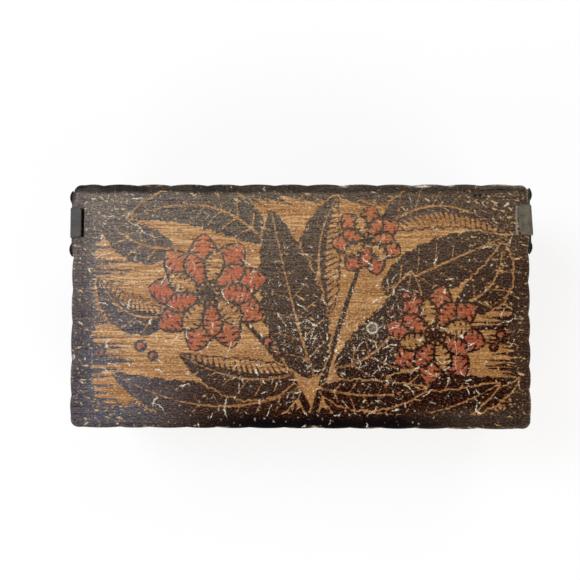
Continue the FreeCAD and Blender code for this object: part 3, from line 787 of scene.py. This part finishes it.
def block(full, *lines):
    """The skin of a block of cells between grid lines: the grid places of its points, their x, y and z, the
    faces, turned outward, and the axis and side of each face."""
    quads, kinds = [], []
    padded = np.pad(full, 1)
    for axis in range(3):
        first, second = [a for a in range(3) if a != axis]
        for side in (0, 1):
            beyond = np.roll(padded, 1 - 2 * side, axis)[1:-1, 1:-1, 1:-1]
            cells = np.argwhere(full & ~beyond)
            cells[:, axis] += side
            quad = np.repeat(cells[:, None, :], 4, axis=1)
            quad[:, 1:3, first] += 1
            quad[:, 2:4, second] += 1
            if (side == 1) == (axis == 1):
                quad = quad[:, ::-1]
            quads.append(quad)
            kinds += [(axis, side)] * len(cells)
    shape = [n + 1 for n in full.shape]
    flat = np.ravel_multi_index(np.concatenate(quads).reshape(-1, 3).T, shape)
    used, index = np.unique(flat, return_inverse=True)
    at = np.array(np.unravel_index(used, shape)).T
    return at, [line[k] for line, k in zip(lines, at.T)], index.reshape(-1, 4).tolist(), kinds


def jointed_wall(name, full, lines, outer, *materials):
    """A wall from its cells, with softened outer edges; outer is the axis and side of its good face."""
    at, (x, y, z), faces, kinds = block(full, *lines)
    axis, side = outer
    padded = np.pad(full, 1).astype(int)
    nx, ny, nz = (n + 1 for n in full.shape)
    cover = sum(padded[a : a + nx, b : b + ny, c : c + nz] for a, b, c in np.ndindex(2, 2, 2))
    on_rim = (at[:, axis] == side * full.shape[axis]) & (cover[tuple(at.T)] < 4)
    # The rear top corner of the end walls is round about the pivot.
    top_curve = PIVOT_Z + np.sqrt(np.maximum(SWING**2 - np.maximum(y - PIVOT_Y, 0) ** 2, 0))
    last_finger = WALL_HIGH - (WALL_HIGH - WALL_LOW) / FINGERS
    z = z - rise(z, last_finger, WALL_HIGH) * (WALL_HIGH - np.minimum(top_curve, WALL_HIGH))
    points = np.stack([x, y, z], -1)
    points[:, axis] += (1 - 2 * side) * SOFTENED * on_rim
    piece = mesh_object(name, points.tolist(), faces, *materials, smooth=False)
    for polygon, kind in zip(piece.data.polygons, kinds):
        round_top = kind == (2, 1) and polygon.center.y > PIVOT_Y * MM
        polygon.material_index = 0 if kind == outer or round_top else 2 if kind[0] == 1 - axis else 1
    return piece, points


LONG_LEAVES = [
    ((-6, -14), (-22, -24), (-46, -12), 6, 6),
    ((-22, 10), (-44, 24), (-62, 8), 6, 6, True),
    ((-52, -6), (-68, -18), (-80, -2), 6, 6),
    ((-56, 2), (-68, 14), (-78, 16), 4.5, 5),
    ((6, -14), (22, -24), (46, -12), 6, 6, True),
    ((22, 10), (44, 24), (62, 8), 6, 6),
    ((52, -6), (68, -18), (80, -2), 6, 6, True),
    ((56, 2), (68, 14), (78, 16), 4.5, 5),
]
LONG_BLOSSOMS = [
    (-36, -1, 13, 7, 0.4, 3.0, 4.0),
    (36, -1, 13, 7, 1.1, 3.0, 4.0),
    (0, 0, 17, 8, 0.2, 3.8, 4.8),
]
LONG_BERRIES = [(-19, 14, 2.0), (19, 14, 2.0), (-58, -12, 1.8), (58, -12, 1.8), (-74, 6, 1.9), (74, 6, 1.9)]
END_LEAVES = [
    ((-10, -6), (-24, -16), (-36, -4), 6, 6),
    ((-8, 6), (-20, 20), (-34, 12), 6, 6, True),
    ((8, -8), (22, -18), (34, -8), 6, 6, True),
    ((8, 6), (18, 18), (32, 14), 6, 6),
]
END_BLOSSOMS = [(0, 0, 16, 8, 0.3, 3.6, 4.6)]
END_BERRIES = [(-20, -17, 1.8), (18, -18, 1.8), (-26, 4, 1.9)]
LONG_DESIGN = LONG_LEAVES, LONG_BLOSSOMS, LONG_BERRIES
END_DESIGN = END_LEAVES, END_BLOSSOMS, END_BERRIES


def wall_design(u, v, half, design, seed):
    """A row of motifs in a dark frame; u runs along the wall and v up it from the picture's middle."""
    art = Burnt(u, v)
    art.comb(-half + 2, 1, -25, 24, 12, 2.0, seed)
    art.comb(half - 2, -1, -25, 24, 12, 2.0, seed + 1)
    art.tufts(-half, half, -22.5, 4.0, seed + 2)
    art.darken(v + 22.2 + 0.8 * waves(u, seed, 34), 21.6 - v + 0.8 * waves(u, seed + 3, 30))
    art.darken(u + half - 7.4 + waves(v, seed + 4, 24), half - 7.4 - u + waves(v, seed + 5, 24))
    art.motifs([], *design)
    return art


def end_grain(name):
    """Sawn ends of the boards, burnt dark with the corners; the pores are coarser than real, to show."""
    material, add = new_material(name)
    mm = add("VectorMath", [add("TexCoord", out="Object"), TO_MM], "MULTIPLY")
    pores = add("TexNoise", {"Vector": mm, "Scale": 1.4, "Detail": 4.0, "Roughness": 0.7})
    cloud = add("TexNoise", {"Vector": mm, "Scale": 0.2, "Detail": 3.0})
    wood = add("ValToRGB", [pores], stops=((0.35, "#1d120e"), (0.55, "#2e1f18"), (0.72, "#4a3524")))
    bump = add("Bump", {"Height": pores, "Strength": 0.5, "Distance": 0.0002})
    dull = add("MapRange", [cloud, 0.3, 0.7, 0.5, 0.7])
    shader = add("BsdfPrincipled", {"Base Color": wood, "Roughness": dull, "Normal": bump})
    add("OutputMaterial", [shader], out=None)
    return material


wall_finish = burnt_wood("burnt stained basswood walls")
inner_tones = ("#a5804f", "#c19d6d", "#d3b286")
long_plain = plain_wood("plain basswood inside the long walls", inner_tones, "x", 0.4)
end_plain = plain_wood("plain basswood inside the end walls", inner_tones, "y", 0.4)
sawn_ends = end_grain("burnt end grain")
finger_lines = np.linspace(WALL_LOW, WALL_HIGH, FINGERS + 1)
zs = ruled(finger_lines, CELL, SOFTENED)
for name, outer in (
    ("front_wall", (1, 0)),
    ("back_wall", (1, 1)),
    ("left_end_wall", (0, 0)),
    ("right_end_wall", (0, 1)),
):
    axis, side = outer[0], 2 * outer[1] - 1
    long = axis == 1
    half, good_face = CASE_HALF[1 - axis], side * CASE_HALF[axis]
    fixed = [-half, -half + WALL_THICK, half - WALL_THICK, half]
    if not long:
        fixed.insert(2, PIVOT_Y)
    run = ruled(fixed, CELL, SOFTENED)
    across = np.linspace(*sorted((good_face, good_face - side * WALL_THICK)), 5)
    middle_run, middle_z = (run[:-1] + run[1:]) / 2, (zs[:-1] + zs[1:]) / 2
    mine = (np.searchsorted(finger_lines, middle_z) - 1) % 2 == 1 - axis
    solid = (np.abs(middle_run) <= half - WALL_THICK)[:, None] | mine
    full = np.repeat(np.expand_dims(solid, axis), len(across) - 1, axis=axis)
    lines = (run, across, zs) if long else (across, run, zs)
    plain = long_plain if long else end_plain
    piece, points = jointed_wall(name + "_jointed", full, lines, outer, wall_finish, plain, sawn_ends)
    u, v = points[:, 0] * -side if long else points[:, 1] * side, points[:, 2] - PICTURE_MIDDLE
    seed = 100 + 10 * (outer[0] * 2 + outer[1])
    art = wall_design(u, v, half, LONG_DESIGN if long else END_DESIGN, seed)
    # Burnt places of the good face lie lower than the rest, as on the lid.
    inside = np.abs(points[:, axis] - good_face)
    lowered = points.copy()
    lowered[:, axis] -= side * sunk(art.burn) * (inside < 2 * SOFTENED)
    piece.data.vertices.foreach_set("co", (lowered * MM).ravel())
    piece.data.shade_smooth()
    piece.data.set_sharp_from_angle(angle=math.radians(30))
    round_top = (points[:, 1] > PIVOT_Y + 0.5) & (points[:, 2] > 52)
    attach(
        piece,
        burn=np.where(round_top, -3.0, art.burn),
        stain=art.stain,
        edge=6.0,
        faded=0.4,
        scuffed=0.12,
        raw=0.0,
        sooted=0.0,
        picked=rise(np.abs(u), half - 16, half - 8, 0.05, 0.4),
        # The pattern folds over the top edge, and each wall has a part of it that is its own.
        face=np.stack([u + 300.0 * seed, v + inside, np.zeros_like(u)], -1),
    )
    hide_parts(name)
    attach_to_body(piece, "box")


# The bottom: one thin board nailed up under the walls. Its edges are burnt dark and its underside is raw,
# with a small dent pressed in round the head of each brad.
BOARD_CELL, DENT_RADIUS, DENT_DEPTH = 0.75, 1.75, 0.4
# The places of the outermost brads in the long walls and in the end walls; the long walls have four each.
LONG_BRADS, END_BRADS, BRADS_APART = (75.65, 45.55), (90.45, 30.75), 50.433
BRAD_PLACES = [LONG_BRADS, (LONG_BRADS[0] - BRADS_APART, LONG_BRADS[1]), END_BRADS]
BRAD_PLACES = [(along * x, across * y) for x, y in BRAD_PLACES for along in (-1, 1) for across in (-1, 1)]

xs, ys = (ruled([-half, half], BOARD_CELL, SOFTENED) for half in CASE_HALF)
zs = np.array([0.0, SOFTENED, 2.4, WALL_LOW - SOFTENED, WALL_LOW])
full = np.ones((len(xs) - 1, len(ys) - 1, len(zs) - 1), dtype=bool)
at, (x, y, z), faces, _ = block(full, xs, ys, zs)
half_x, half_y = CASE_HALF
on_ends = (at[:, 2] == 0) | (at[:, 2] == len(zs) - 1)
x = np.where(on_ends, np.clip(x, -half_x + SOFTENED, half_x - SOFTENED), x)
y = np.where(on_ends, np.clip(y, -half_y + SOFTENED, half_y - SOFTENED), y)
nearest = np.min([np.hypot(x - bx, y - by) for bx, by in BRAD_PLACES], axis=0)
z = np.where(at[:, 2] == 0, DENT_DEPTH * np.clip((DENT_RADIUS - nearest) / 0.35, 0, 1), z)
board_finish = plain_wood("raw basswood bottom", ("#846039", "#a68157", "#bf9c70"), "x", 0.6, burnt_edge=True)
board = mesh_object("bottom_board_aged", np.stack([x, y, z], -1).tolist(), faces, board_finish, smooth=False)
attach(board, burn=np.minimum(half_x - np.abs(x), half_y - np.abs(y)) - 1.2)
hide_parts("bottom_board")
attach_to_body(board, "box")


# The hinge arms: one stamping of thin mild steel at each end, bent over the lid at the top. Old, oiled
# and dull, dark grey on the left and an olive grey on the right, with soft worn edges. The left one's darker
# grey is partly painted shade, set against the window lamp that lights it most.
SHEET = 0.8
ARM_FACE = 95.2
BEND_INNER = 0.12
TAB_TOP = 64.88
EARS = (57.2, 62.2)
STEM_HALF, EAR_HALF, TAB_HALF, TAB_SHIFT = 5.5, 13.5, 6.25, 0.65
HOLE = 1.7


def rounded(corners):
    """An outline through corners (y, z, radius), with an arc of points at each."""
    outline = []
    for k, (y, z, radius) in enumerate(corners):
        here = Vector((y, z))
        before = (Vector(corners[k - 1][:2]) - here).normalized()
        after = (Vector(corners[(k + 1) % len(corners)][:2]) - here).normalized()
        half_angle = before.angle(after) / 2
        reach = radius / math.tan(half_angle)
        centre = here + (before + after).normalized() * (radius / math.sin(half_angle))
        start, end = here + before * reach - centre, here + after * reach - centre
        turn = start.angle_signed(end)
        steps = max(2, round(abs(turn) / 0.2))
        for step in range(steps + 1):
            angle = -turn * step / steps
            spun = Matrix.Rotation(angle, 2) @ start
            outline.append(centre + spun)
    return outline


def aged_steel(name, base, light, rough, metallic=0.45, gloss=0.5, darkened=False):
    """Mild steel, cold rolled and oiled, gone dull: dark with brown spots and lighter rubbed patches. Its
    grit is coarser than real, so that it shows."""
    material, add = new_material(name)
    mm = add("VectorMath", [add("TexCoord", out="Object"), TO_MM], "MULTIPLY")
    cloud = add("TexNoise", {"Vector": mm, "Scale": 0.35, "Detail": 5.0, "Roughness": 0.65})
    grit = add("TexNoise", {"Vector": mm, "Scale": 3.0, "Detail": 3.0, "Roughness": 0.6})
    rust = add("MapRange", [grit, 0.60, 0.68, 0.0, 0.5])
    steel = coated(add, add("ValToRGB", [cloud], stops=((0.35, base), (0.68, light))), (rust, "#3a2c22"))
    if darkened:
        # Below the bend the steel is darkened: painted shade under the lid's overhang.
        height = add("SeparateXYZ", [mm], out="Z")
        steel = coated(add, steel, (add("MapRange", [height, 62.0, 63.2, 0.75, 0.0]), "#15130f"))
    dull = add("MapRange", [cloud, 0.3, 0.7, rough - 0.06, rough + 0.1])
    bump = add("Bump", {"Height": grit, "Strength": 0.3, "Distance": 0.00008})
    inputs = {"Base Color": steel, "Metallic": metallic, "Roughness": dull, "Normal": bump}
    shader = add("BsdfPrincipled", inputs | {"Specular IOR Level": gloss})
    add("OutputMaterial", [shader], out=None)
    return material


def wear_edges(piece, width, angle):
    """A narrow bevel on the edges that are sharper than the angle."""
    worn = piece.modifiers.new("worn edge", "BEVEL")
    worn.width, worn.segments = width * MM, 2
    worn.limit_method, worn.angle_limit = "ANGLE", math.radians(angle)


def finished(piece):
    """Applies a piece's modifiers, so that its mesh is what the scene shows."""
    mesh = bpy.data.meshes.new_from_object(piece.evaluated_get(bpy.context.evaluated_depsgraph_get()))
    piece.modifiers.clear()
    piece.data = mesh
    return piece


def hinge_arm(name, tab, skew, flare, material):
    """Cut flat, then bent: points of the flat sheet go up the arm, round the bend and in over the lid."""
    side, _, tab_end = tab
    middle = SHEET / 2
    radius = BEND_INNER + middle
    bend_start = TAB_TOP - middle - radius
    bend_run = radius * math.pi / 2
    bend_end = bend_start + bend_run
    top = bend_end + (ARM_FACE + middle - radius - tab_end)
    ear = [(EAR_HALF, EARS[0], 2.2), (EAR_HALF, EARS[1], 2.2), (TAB_HALF, EARS[1], 0.5), (TAB_HALF, top, 1.7)]
    outline = rounded([
        (-STEM_HALF, PIVOT_Z - 6, 4.5), (STEM_HALF, PIVOT_Z - 6, 4.5), (STEM_HALF, EARS[0], 1.2),
        *((TAB_SHIFT + y, z, corner) for y, z, corner in ear),
        *((TAB_SHIFT - y, z, corner) for y, z, corner in ear[::-1]),
        (-STEM_HALF, EARS[0], 1.2),
    ])
    angles = np.linspace(0, 2 * math.pi, 24, endpoint=False)
    hole = [Vector((HOLE * math.cos(a), PIVOT_Z + HOLE * math.sin(a))) for a in angles]
    # More points inside the outline, closest together at the bend, so that the sheet bends smoothly.
    spots = [(y, z) for z in np.arange(PIVOT_Z - 4, EARS[0], 2.0) for y in (-3.6, -1.2, 1.2, 3.6)]
    spots = [(y, z) for y, z in spots if math.hypot(y, z - PIVOT_Z) > 2.6]
    low = [*np.arange(EARS[0] + 1, EARS[1], 1.5), bend_start - 0.4]
    spots += [(TAB_SHIFT + y, z) for z in low for y in np.arange(-5, 5.1, 1.25)]
    high = [*np.linspace(bend_start, bend_end, 7), *np.arange(bend_end + 0.7, top - 0.6, 0.9)]
    spots += [(TAB_SHIFT + y, z) for z in high for y in np.arange(-5.6, 5.7, 0.8)]
    places = outline + hole + [Vector(spot) for spot in spots]
    count, around = len(outline), len(hole)
    loops = [(k, (k + 1) % count) for k in range(count)]
    loops += [(count + k, count + (k + 1) % around) for k in range(around)]
    flat, _, triangles, _, _, _ = delaunay_2d_cdt(places, loops, [], 2, 1e-5)
    points = []
    for y, z in flat:
        past = z - bend_start
        splay = flare * min(1.0, max(0.0, (TAB_SHIFT + TAB_HALF - y) / (2 * TAB_HALF)))
        wobble = 0.06 * math.sin(0.45 * y + 0.3 * z + side) + 0.03 * math.sin(1.7 * y - 0.9 * z)
        x, height, twist = ARM_FACE + middle, z, 0.0
        if past <= 0:
            x += wobble * min(1.0, -past / 4) if z < EARS[0] else 0.0
            x += splay * min(1.0, max(0.0, (z - 60.0) / (bend_start - 60.0)))
        elif past < bend_run:
            x += splay - radius + radius * math.cos(past / radius)
            height = bend_start + radius * math.sin(past / radius)
        else:
            over = past - bend_run
            x += splay - radius - over
            height = TAB_TOP - middle - 0.02 * over
            twist = math.tan(math.radians(skew)) * over
        points.append((side * x, PIVOT_Y + side * (y + twist), height))
    hub = Vector((0, PIVOT_Z))
    middles = [sum((flat[k] for k in face), Vector((0, 0))) / 3 for face in triangles]
    faces = [face for face, place in zip(triangles, middles) if (place - hub).length > HOLE - 0.1]
    arm = mesh_object(name, points, faces, material, smooth=False)
    mesh = bmesh.new()
    mesh.from_mesh(arm.data)
    bmesh.ops.recalc_face_normals(mesh, faces=mesh.faces)
    mesh.to_mesh(arm.data)
    mesh.free()
    thick = arm.modifiers.new("sheet", "SOLIDIFY")
    thick.thickness, thick.offset, thick.use_even_offset = SHEET * MM, 0.0, True
    wear_edges(arm, 0.14, 50)
    return finished(arm)


for name, tab, skew, flare, dark, light in (
    ("left_hinge_arm", LEFT_TAB, 0.0, 0.0, "#33312d", "#4d4a43"),
    ("right_hinge_arm", RIGHT_TAB, 2.0, 0.7, "#524d40", "#7a7361"),
):
    arm_steel = aged_steel("aged oiled steel, " + name.replace("_", " "), dark, light, 0.52, darkened=True)
    arm = hinge_arm(name + "_bent", tab, skew, flare, arm_steel)
    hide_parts(name)
    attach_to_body(arm, "lid")


# The nails: one through each ear of the arms into the lid's end. They are pressed from steel wire and
# blackened, and their round domed heads are slightly uneven from the hammer. Their near-black colour is
# partly painted shade, as where they sit under the lid's edge.
NAIL_HEAD, NAIL_RISE, NAIL_SHANK, NAIL_LONG = 3.0, 1.4, 0.8, 12.0
NAIL_HIGH, NAIL_FROM_TAB = 59.7, 11


def turned(profile, steps, dented=0.0, seed=0):
    """A shape turned on a lathe about Z from a profile of (radius, height), low end first."""
    draw = np.random.default_rng(seed)
    points, rings = [], []
    for radius, height in profile:
        if radius == 0:
            rings.append([len(points)] * steps)
            points.append((0, 0, height))
            continue
        rings.append(list(range(len(points), len(points) + steps)))
        for k in range(steps):
            angle = 2 * math.pi * k / steps
            r = radius * (1 + dented * draw.uniform(-1, 1))
            points.append((r * math.cos(angle), r * math.sin(angle), height))
    faces = []
    for low, high in zip(rings[:-1], rings[1:]):
        for k in range(steps):
            n = (k + 1) % steps
            # Where one end is a single point, this leaves a triangle.
            faces.append(tuple(dict.fromkeys((low[k], low[n], high[n], high[k]))))
    return points, faces


def fastener_row():
    """A tree that sets one fastener at even steps from a start, all turned alike, in one material."""
    tree = bpy.data.node_groups.new("row of fasteners", "GeometryNodeTree")
    add = adder(tree, "")
    tree.interface.new_socket("Row", in_out="OUTPUT", socket_type="NodeSocketGeometry")
    for name, kind in (
        ("Fastener", "Geometry"), ("Count", "Int"), ("Start", "Vector"), ("Step", "Vector"),
        ("Turn", "Rotation"), ("Finish", "Material"),
    ):
        tree.interface.new_socket(name, in_out="INPUT", socket_type="NodeSocket" + kind)
    given = add("NodeGroupInput", out=None).outputs
    line = {"Count": given["Count"], "Start Location": given["Start"], "Offset": given["Step"]}
    line = add("GeometryNodeMeshLine", line)
    row = {"Points": line, "Instance": given["Fastener"], "Rotation": given["Turn"]}
    row = add("GeometryNodeRealizeInstances", [add("GeometryNodeInstanceOnPoints", row)])
    row = add("GeometryNodeSetMaterial", {"Geometry": row, "Material": given["Finish"]})
    add("NodeGroupOutput", [row], out=None)
    return tree


fasteners = fastener_row()


def set_fasteners(name, shape, count, start, step, turn, material, smooth=True):
    """Fasteners of one shape at their places, as one finished piece."""
    piece = mesh_object(name, *shape, material, smooth=smooth)
    row = piece.modifiers.new("row", "NODES")
    row.node_group = fasteners
    start, step = [c * MM for c in start], [c * MM for c in step]
    inputs = {"Count": count, "Start": start, "Step": step, "Turn": turn, "Finish": material}
    for item in fasteners.interface.items_tree:
        if item.name in inputs:
            row[item.identifier] = inputs[item.name]
    return finished(piece)


def dome(radius, foot, top, steps=8):
    """The profile of a round cap, from just inside its rim at the foot to the middle of its top."""
    ball = (radius**2 + (top - foot) ** 2) / (2 * (top - foot))
    angle = math.asin(min(1, radius / ball))
    turns = [angle * (1 - k / steps) for k in range(1, steps)]
    return [(ball * math.sin(turn), ball * math.cos(turn) - ball + top) for turn in turns] + [(0, top)]


nail_black_and_shade = aged_steel("blackened steel nail heads", "#030303", "#0c0c0d", 0.6, 0.0, 0.12)
profile = [(0, -NAIL_LONG), (NAIL_SHANK, -NAIL_LONG + 2.5), (NAIL_SHANK, 0.01)]
profile += [(NAIL_HEAD - 0.25, 0.0), (NAIL_HEAD, 0.22), *dome(NAIL_HEAD, 0.22, NAIL_RISE)]
for side_name, (side, middle, _) in (("left", LEFT_TAB), ("right", RIGHT_TAB)):
    for end_name, end in (("front", -1), ("back", 1)):
        name = f"{side_name}_{end_name}_nail"
        shape = turned(profile, 28, 0.012, seed=side + 3 * end + 5)
        start = (side * (ARM_FACE + SHEET), middle + NAIL_FROM_TAB * end, NAIL_HIGH)
        turn = (0, side * math.pi / 2, 0)
        nail = set_fasteners(name + "_domed", shape, 1, start, (0, 0, 0), turn, nail_black_and_shade)
        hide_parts(name)
        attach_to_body(nail, "lid")


# The pivot screws: one slotted round-head steel screw through each arm and washer into the end wall.
# The heads are turned and slotted, the edges of the slot are worn, and the slots stand at odd angles.
SCREW_HEAD, SCREW_RISE, SCREW_SHANK, SCREW_IN_WALL = 3.4, 2.0, 1.6, 5.2
SCREW_SEAT = ARM_FACE + SHEET + 0.1
SCREW_LONG = SCREW_SEAT - (CASE_HALF[0] - SCREW_IN_WALL)
SLOT_WIDE, SLOT_DEEP = 0.8, 0.9
screw_steel = aged_steel("worn steel screw heads", "#4a4a48", "#7d7d78", 0.38)
profile = [(0, -SCREW_LONG), (SCREW_SHANK, -SCREW_LONG + 1.6), (SCREW_SHANK, 0.0)]
profile += [(SCREW_HEAD - 0.2, 0.0), (SCREW_HEAD, 0.2), *dome(SCREW_HEAD, 0.2, SCREW_RISE)]
for side_name, side in (("left", -1), ("right", 1)):
    blank = mesh_object("blank", *turned(profile, 40), screw_steel)
    cutter = mesh_object("cutter", *turned([(0, 0), (1, 0), (1, 1), (0, 1)], 4), screw_steel)
    for point in cutter.data.vertices:
        place = Matrix.Rotation(math.radians(45), 3, "Z") @ point.co
        across, high = place.y * SLOT_WIDE / math.sqrt(2), place.z * 3 + (SCREW_RISE - SLOT_DEEP) * MM
        point.co = (place.x * 7.5, across, high)
    slot = blank.modifiers.new("slot", "BOOLEAN")
    slot.object, slot.operation, slot.solver = cutter, "DIFFERENCE", "EXACT"
    wear_edges(blank, 0.1, 40)
    finished(blank)
    points = [tuple(c / MM for c in vertex.co) for vertex in blank.data.vertices]
    shape = points, [tuple(polygon.vertices) for polygon in blank.data.polygons]
    bpy.data.objects.remove(cutter)
    bpy.data.objects.remove(blank)
    name = f"{side_name}_pivot_screw"
    start = (side * SCREW_SEAT, PIVOT_Y, PIVOT_Z)
    turn = Euler((0, side * math.pi / 2, 0)).to_matrix() @ Matrix.Rotation(0.5 + side, 3, "Z")
    turn = turn.to_euler()
    screw = set_fasteners(name + "_slotted", shape, 1, start, (0, 0, 0), turn, screw_steel, smooth=False)
    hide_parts(name)
    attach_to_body(screw, "box")


# The washers: a plain ring on each pivot screw, cut from thick steel sheet. It is as thick as the lid's
# overhang, so that the arm stands clear of the end wall.
WASHER_OUT, WASHER_IN, WASHER_THICK, WASHER_SIDES = 4.8, 1.65, 1.5, 36
washer_steel = aged_steel("plain steel washers", "#4d4d4a", "#7f7f79", 0.5)
ring = [(WASHER_IN, 0.15), (WASHER_IN + 0.15, 0), (WASHER_OUT - 0.2, 0), (WASHER_OUT, 0.2)]
ring += [(radius, WASHER_THICK - height) for radius, height in ring[::-1]] + ring[:1]
for side_name, side in (("left", -1), ("right", 1)):
    # The last circle of points is the first one again, so its faces take the first one's points.
    points, faces = turned(ring, WASHER_SIDES)
    last = len(points) - WASHER_SIDES
    points, faces = points[:last], [tuple(k % last for k in face) for face in faces]
    name = f"{side_name}_pivot_washer"
    start, turn = (side * CASE_HALF[0], PIVOT_Y, PIVOT_Z), (0, side * math.pi / 2, 0)
    washer = set_fasteners(name + "_ring", (points, faces), 1, start, (0, 0, 0), turn, washer_steel)
    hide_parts(name)
    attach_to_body(washer, "box")


# The brads: small steel nails driven up through the bottom into each wall, with the heads flush. They
# are cut from wire, and their flat heads are not quite round.
BRAD_HEAD, BRAD_SHANK, BRAD_LONG = 1.3, 0.65, 15.0
brad_steel = aged_steel("dull steel brads", "#3f3d3a", "#6d6a64", 0.5)
brad = [(0, 0.02), (0.8, 0.03), (BRAD_HEAD - 0.12, 0.1), (BRAD_HEAD, 0.22), (BRAD_HEAD, 0.45)]
brad += [(BRAD_SHANK, 0.5), (BRAD_SHANK, BRAD_LONG - 2), (0, BRAD_LONG)]
shape = turned(brad, 20, 0.02, seed=4)
for name, count, start, step in (
    ("front_brads", 4, (-LONG_BRADS[0], -LONG_BRADS[1], 0), (BRADS_APART, 0, 0)),
    ("back_brads", 4, (-LONG_BRADS[0], LONG_BRADS[1], 0), (BRADS_APART, 0, 0)),
    ("left_brads", 2, (-END_BRADS[0], -END_BRADS[1], 0), (0, 2 * END_BRADS[1], 0)),
    ("right_brads", 2, (END_BRADS[0], -END_BRADS[1], 0), (0, 2 * END_BRADS[1], 0)),
):
    row = set_fasteners(name + "_driven", shape, count, start, step, (0, 0, 0), brad_steel)
    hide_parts(name)
    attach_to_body(row, "box")
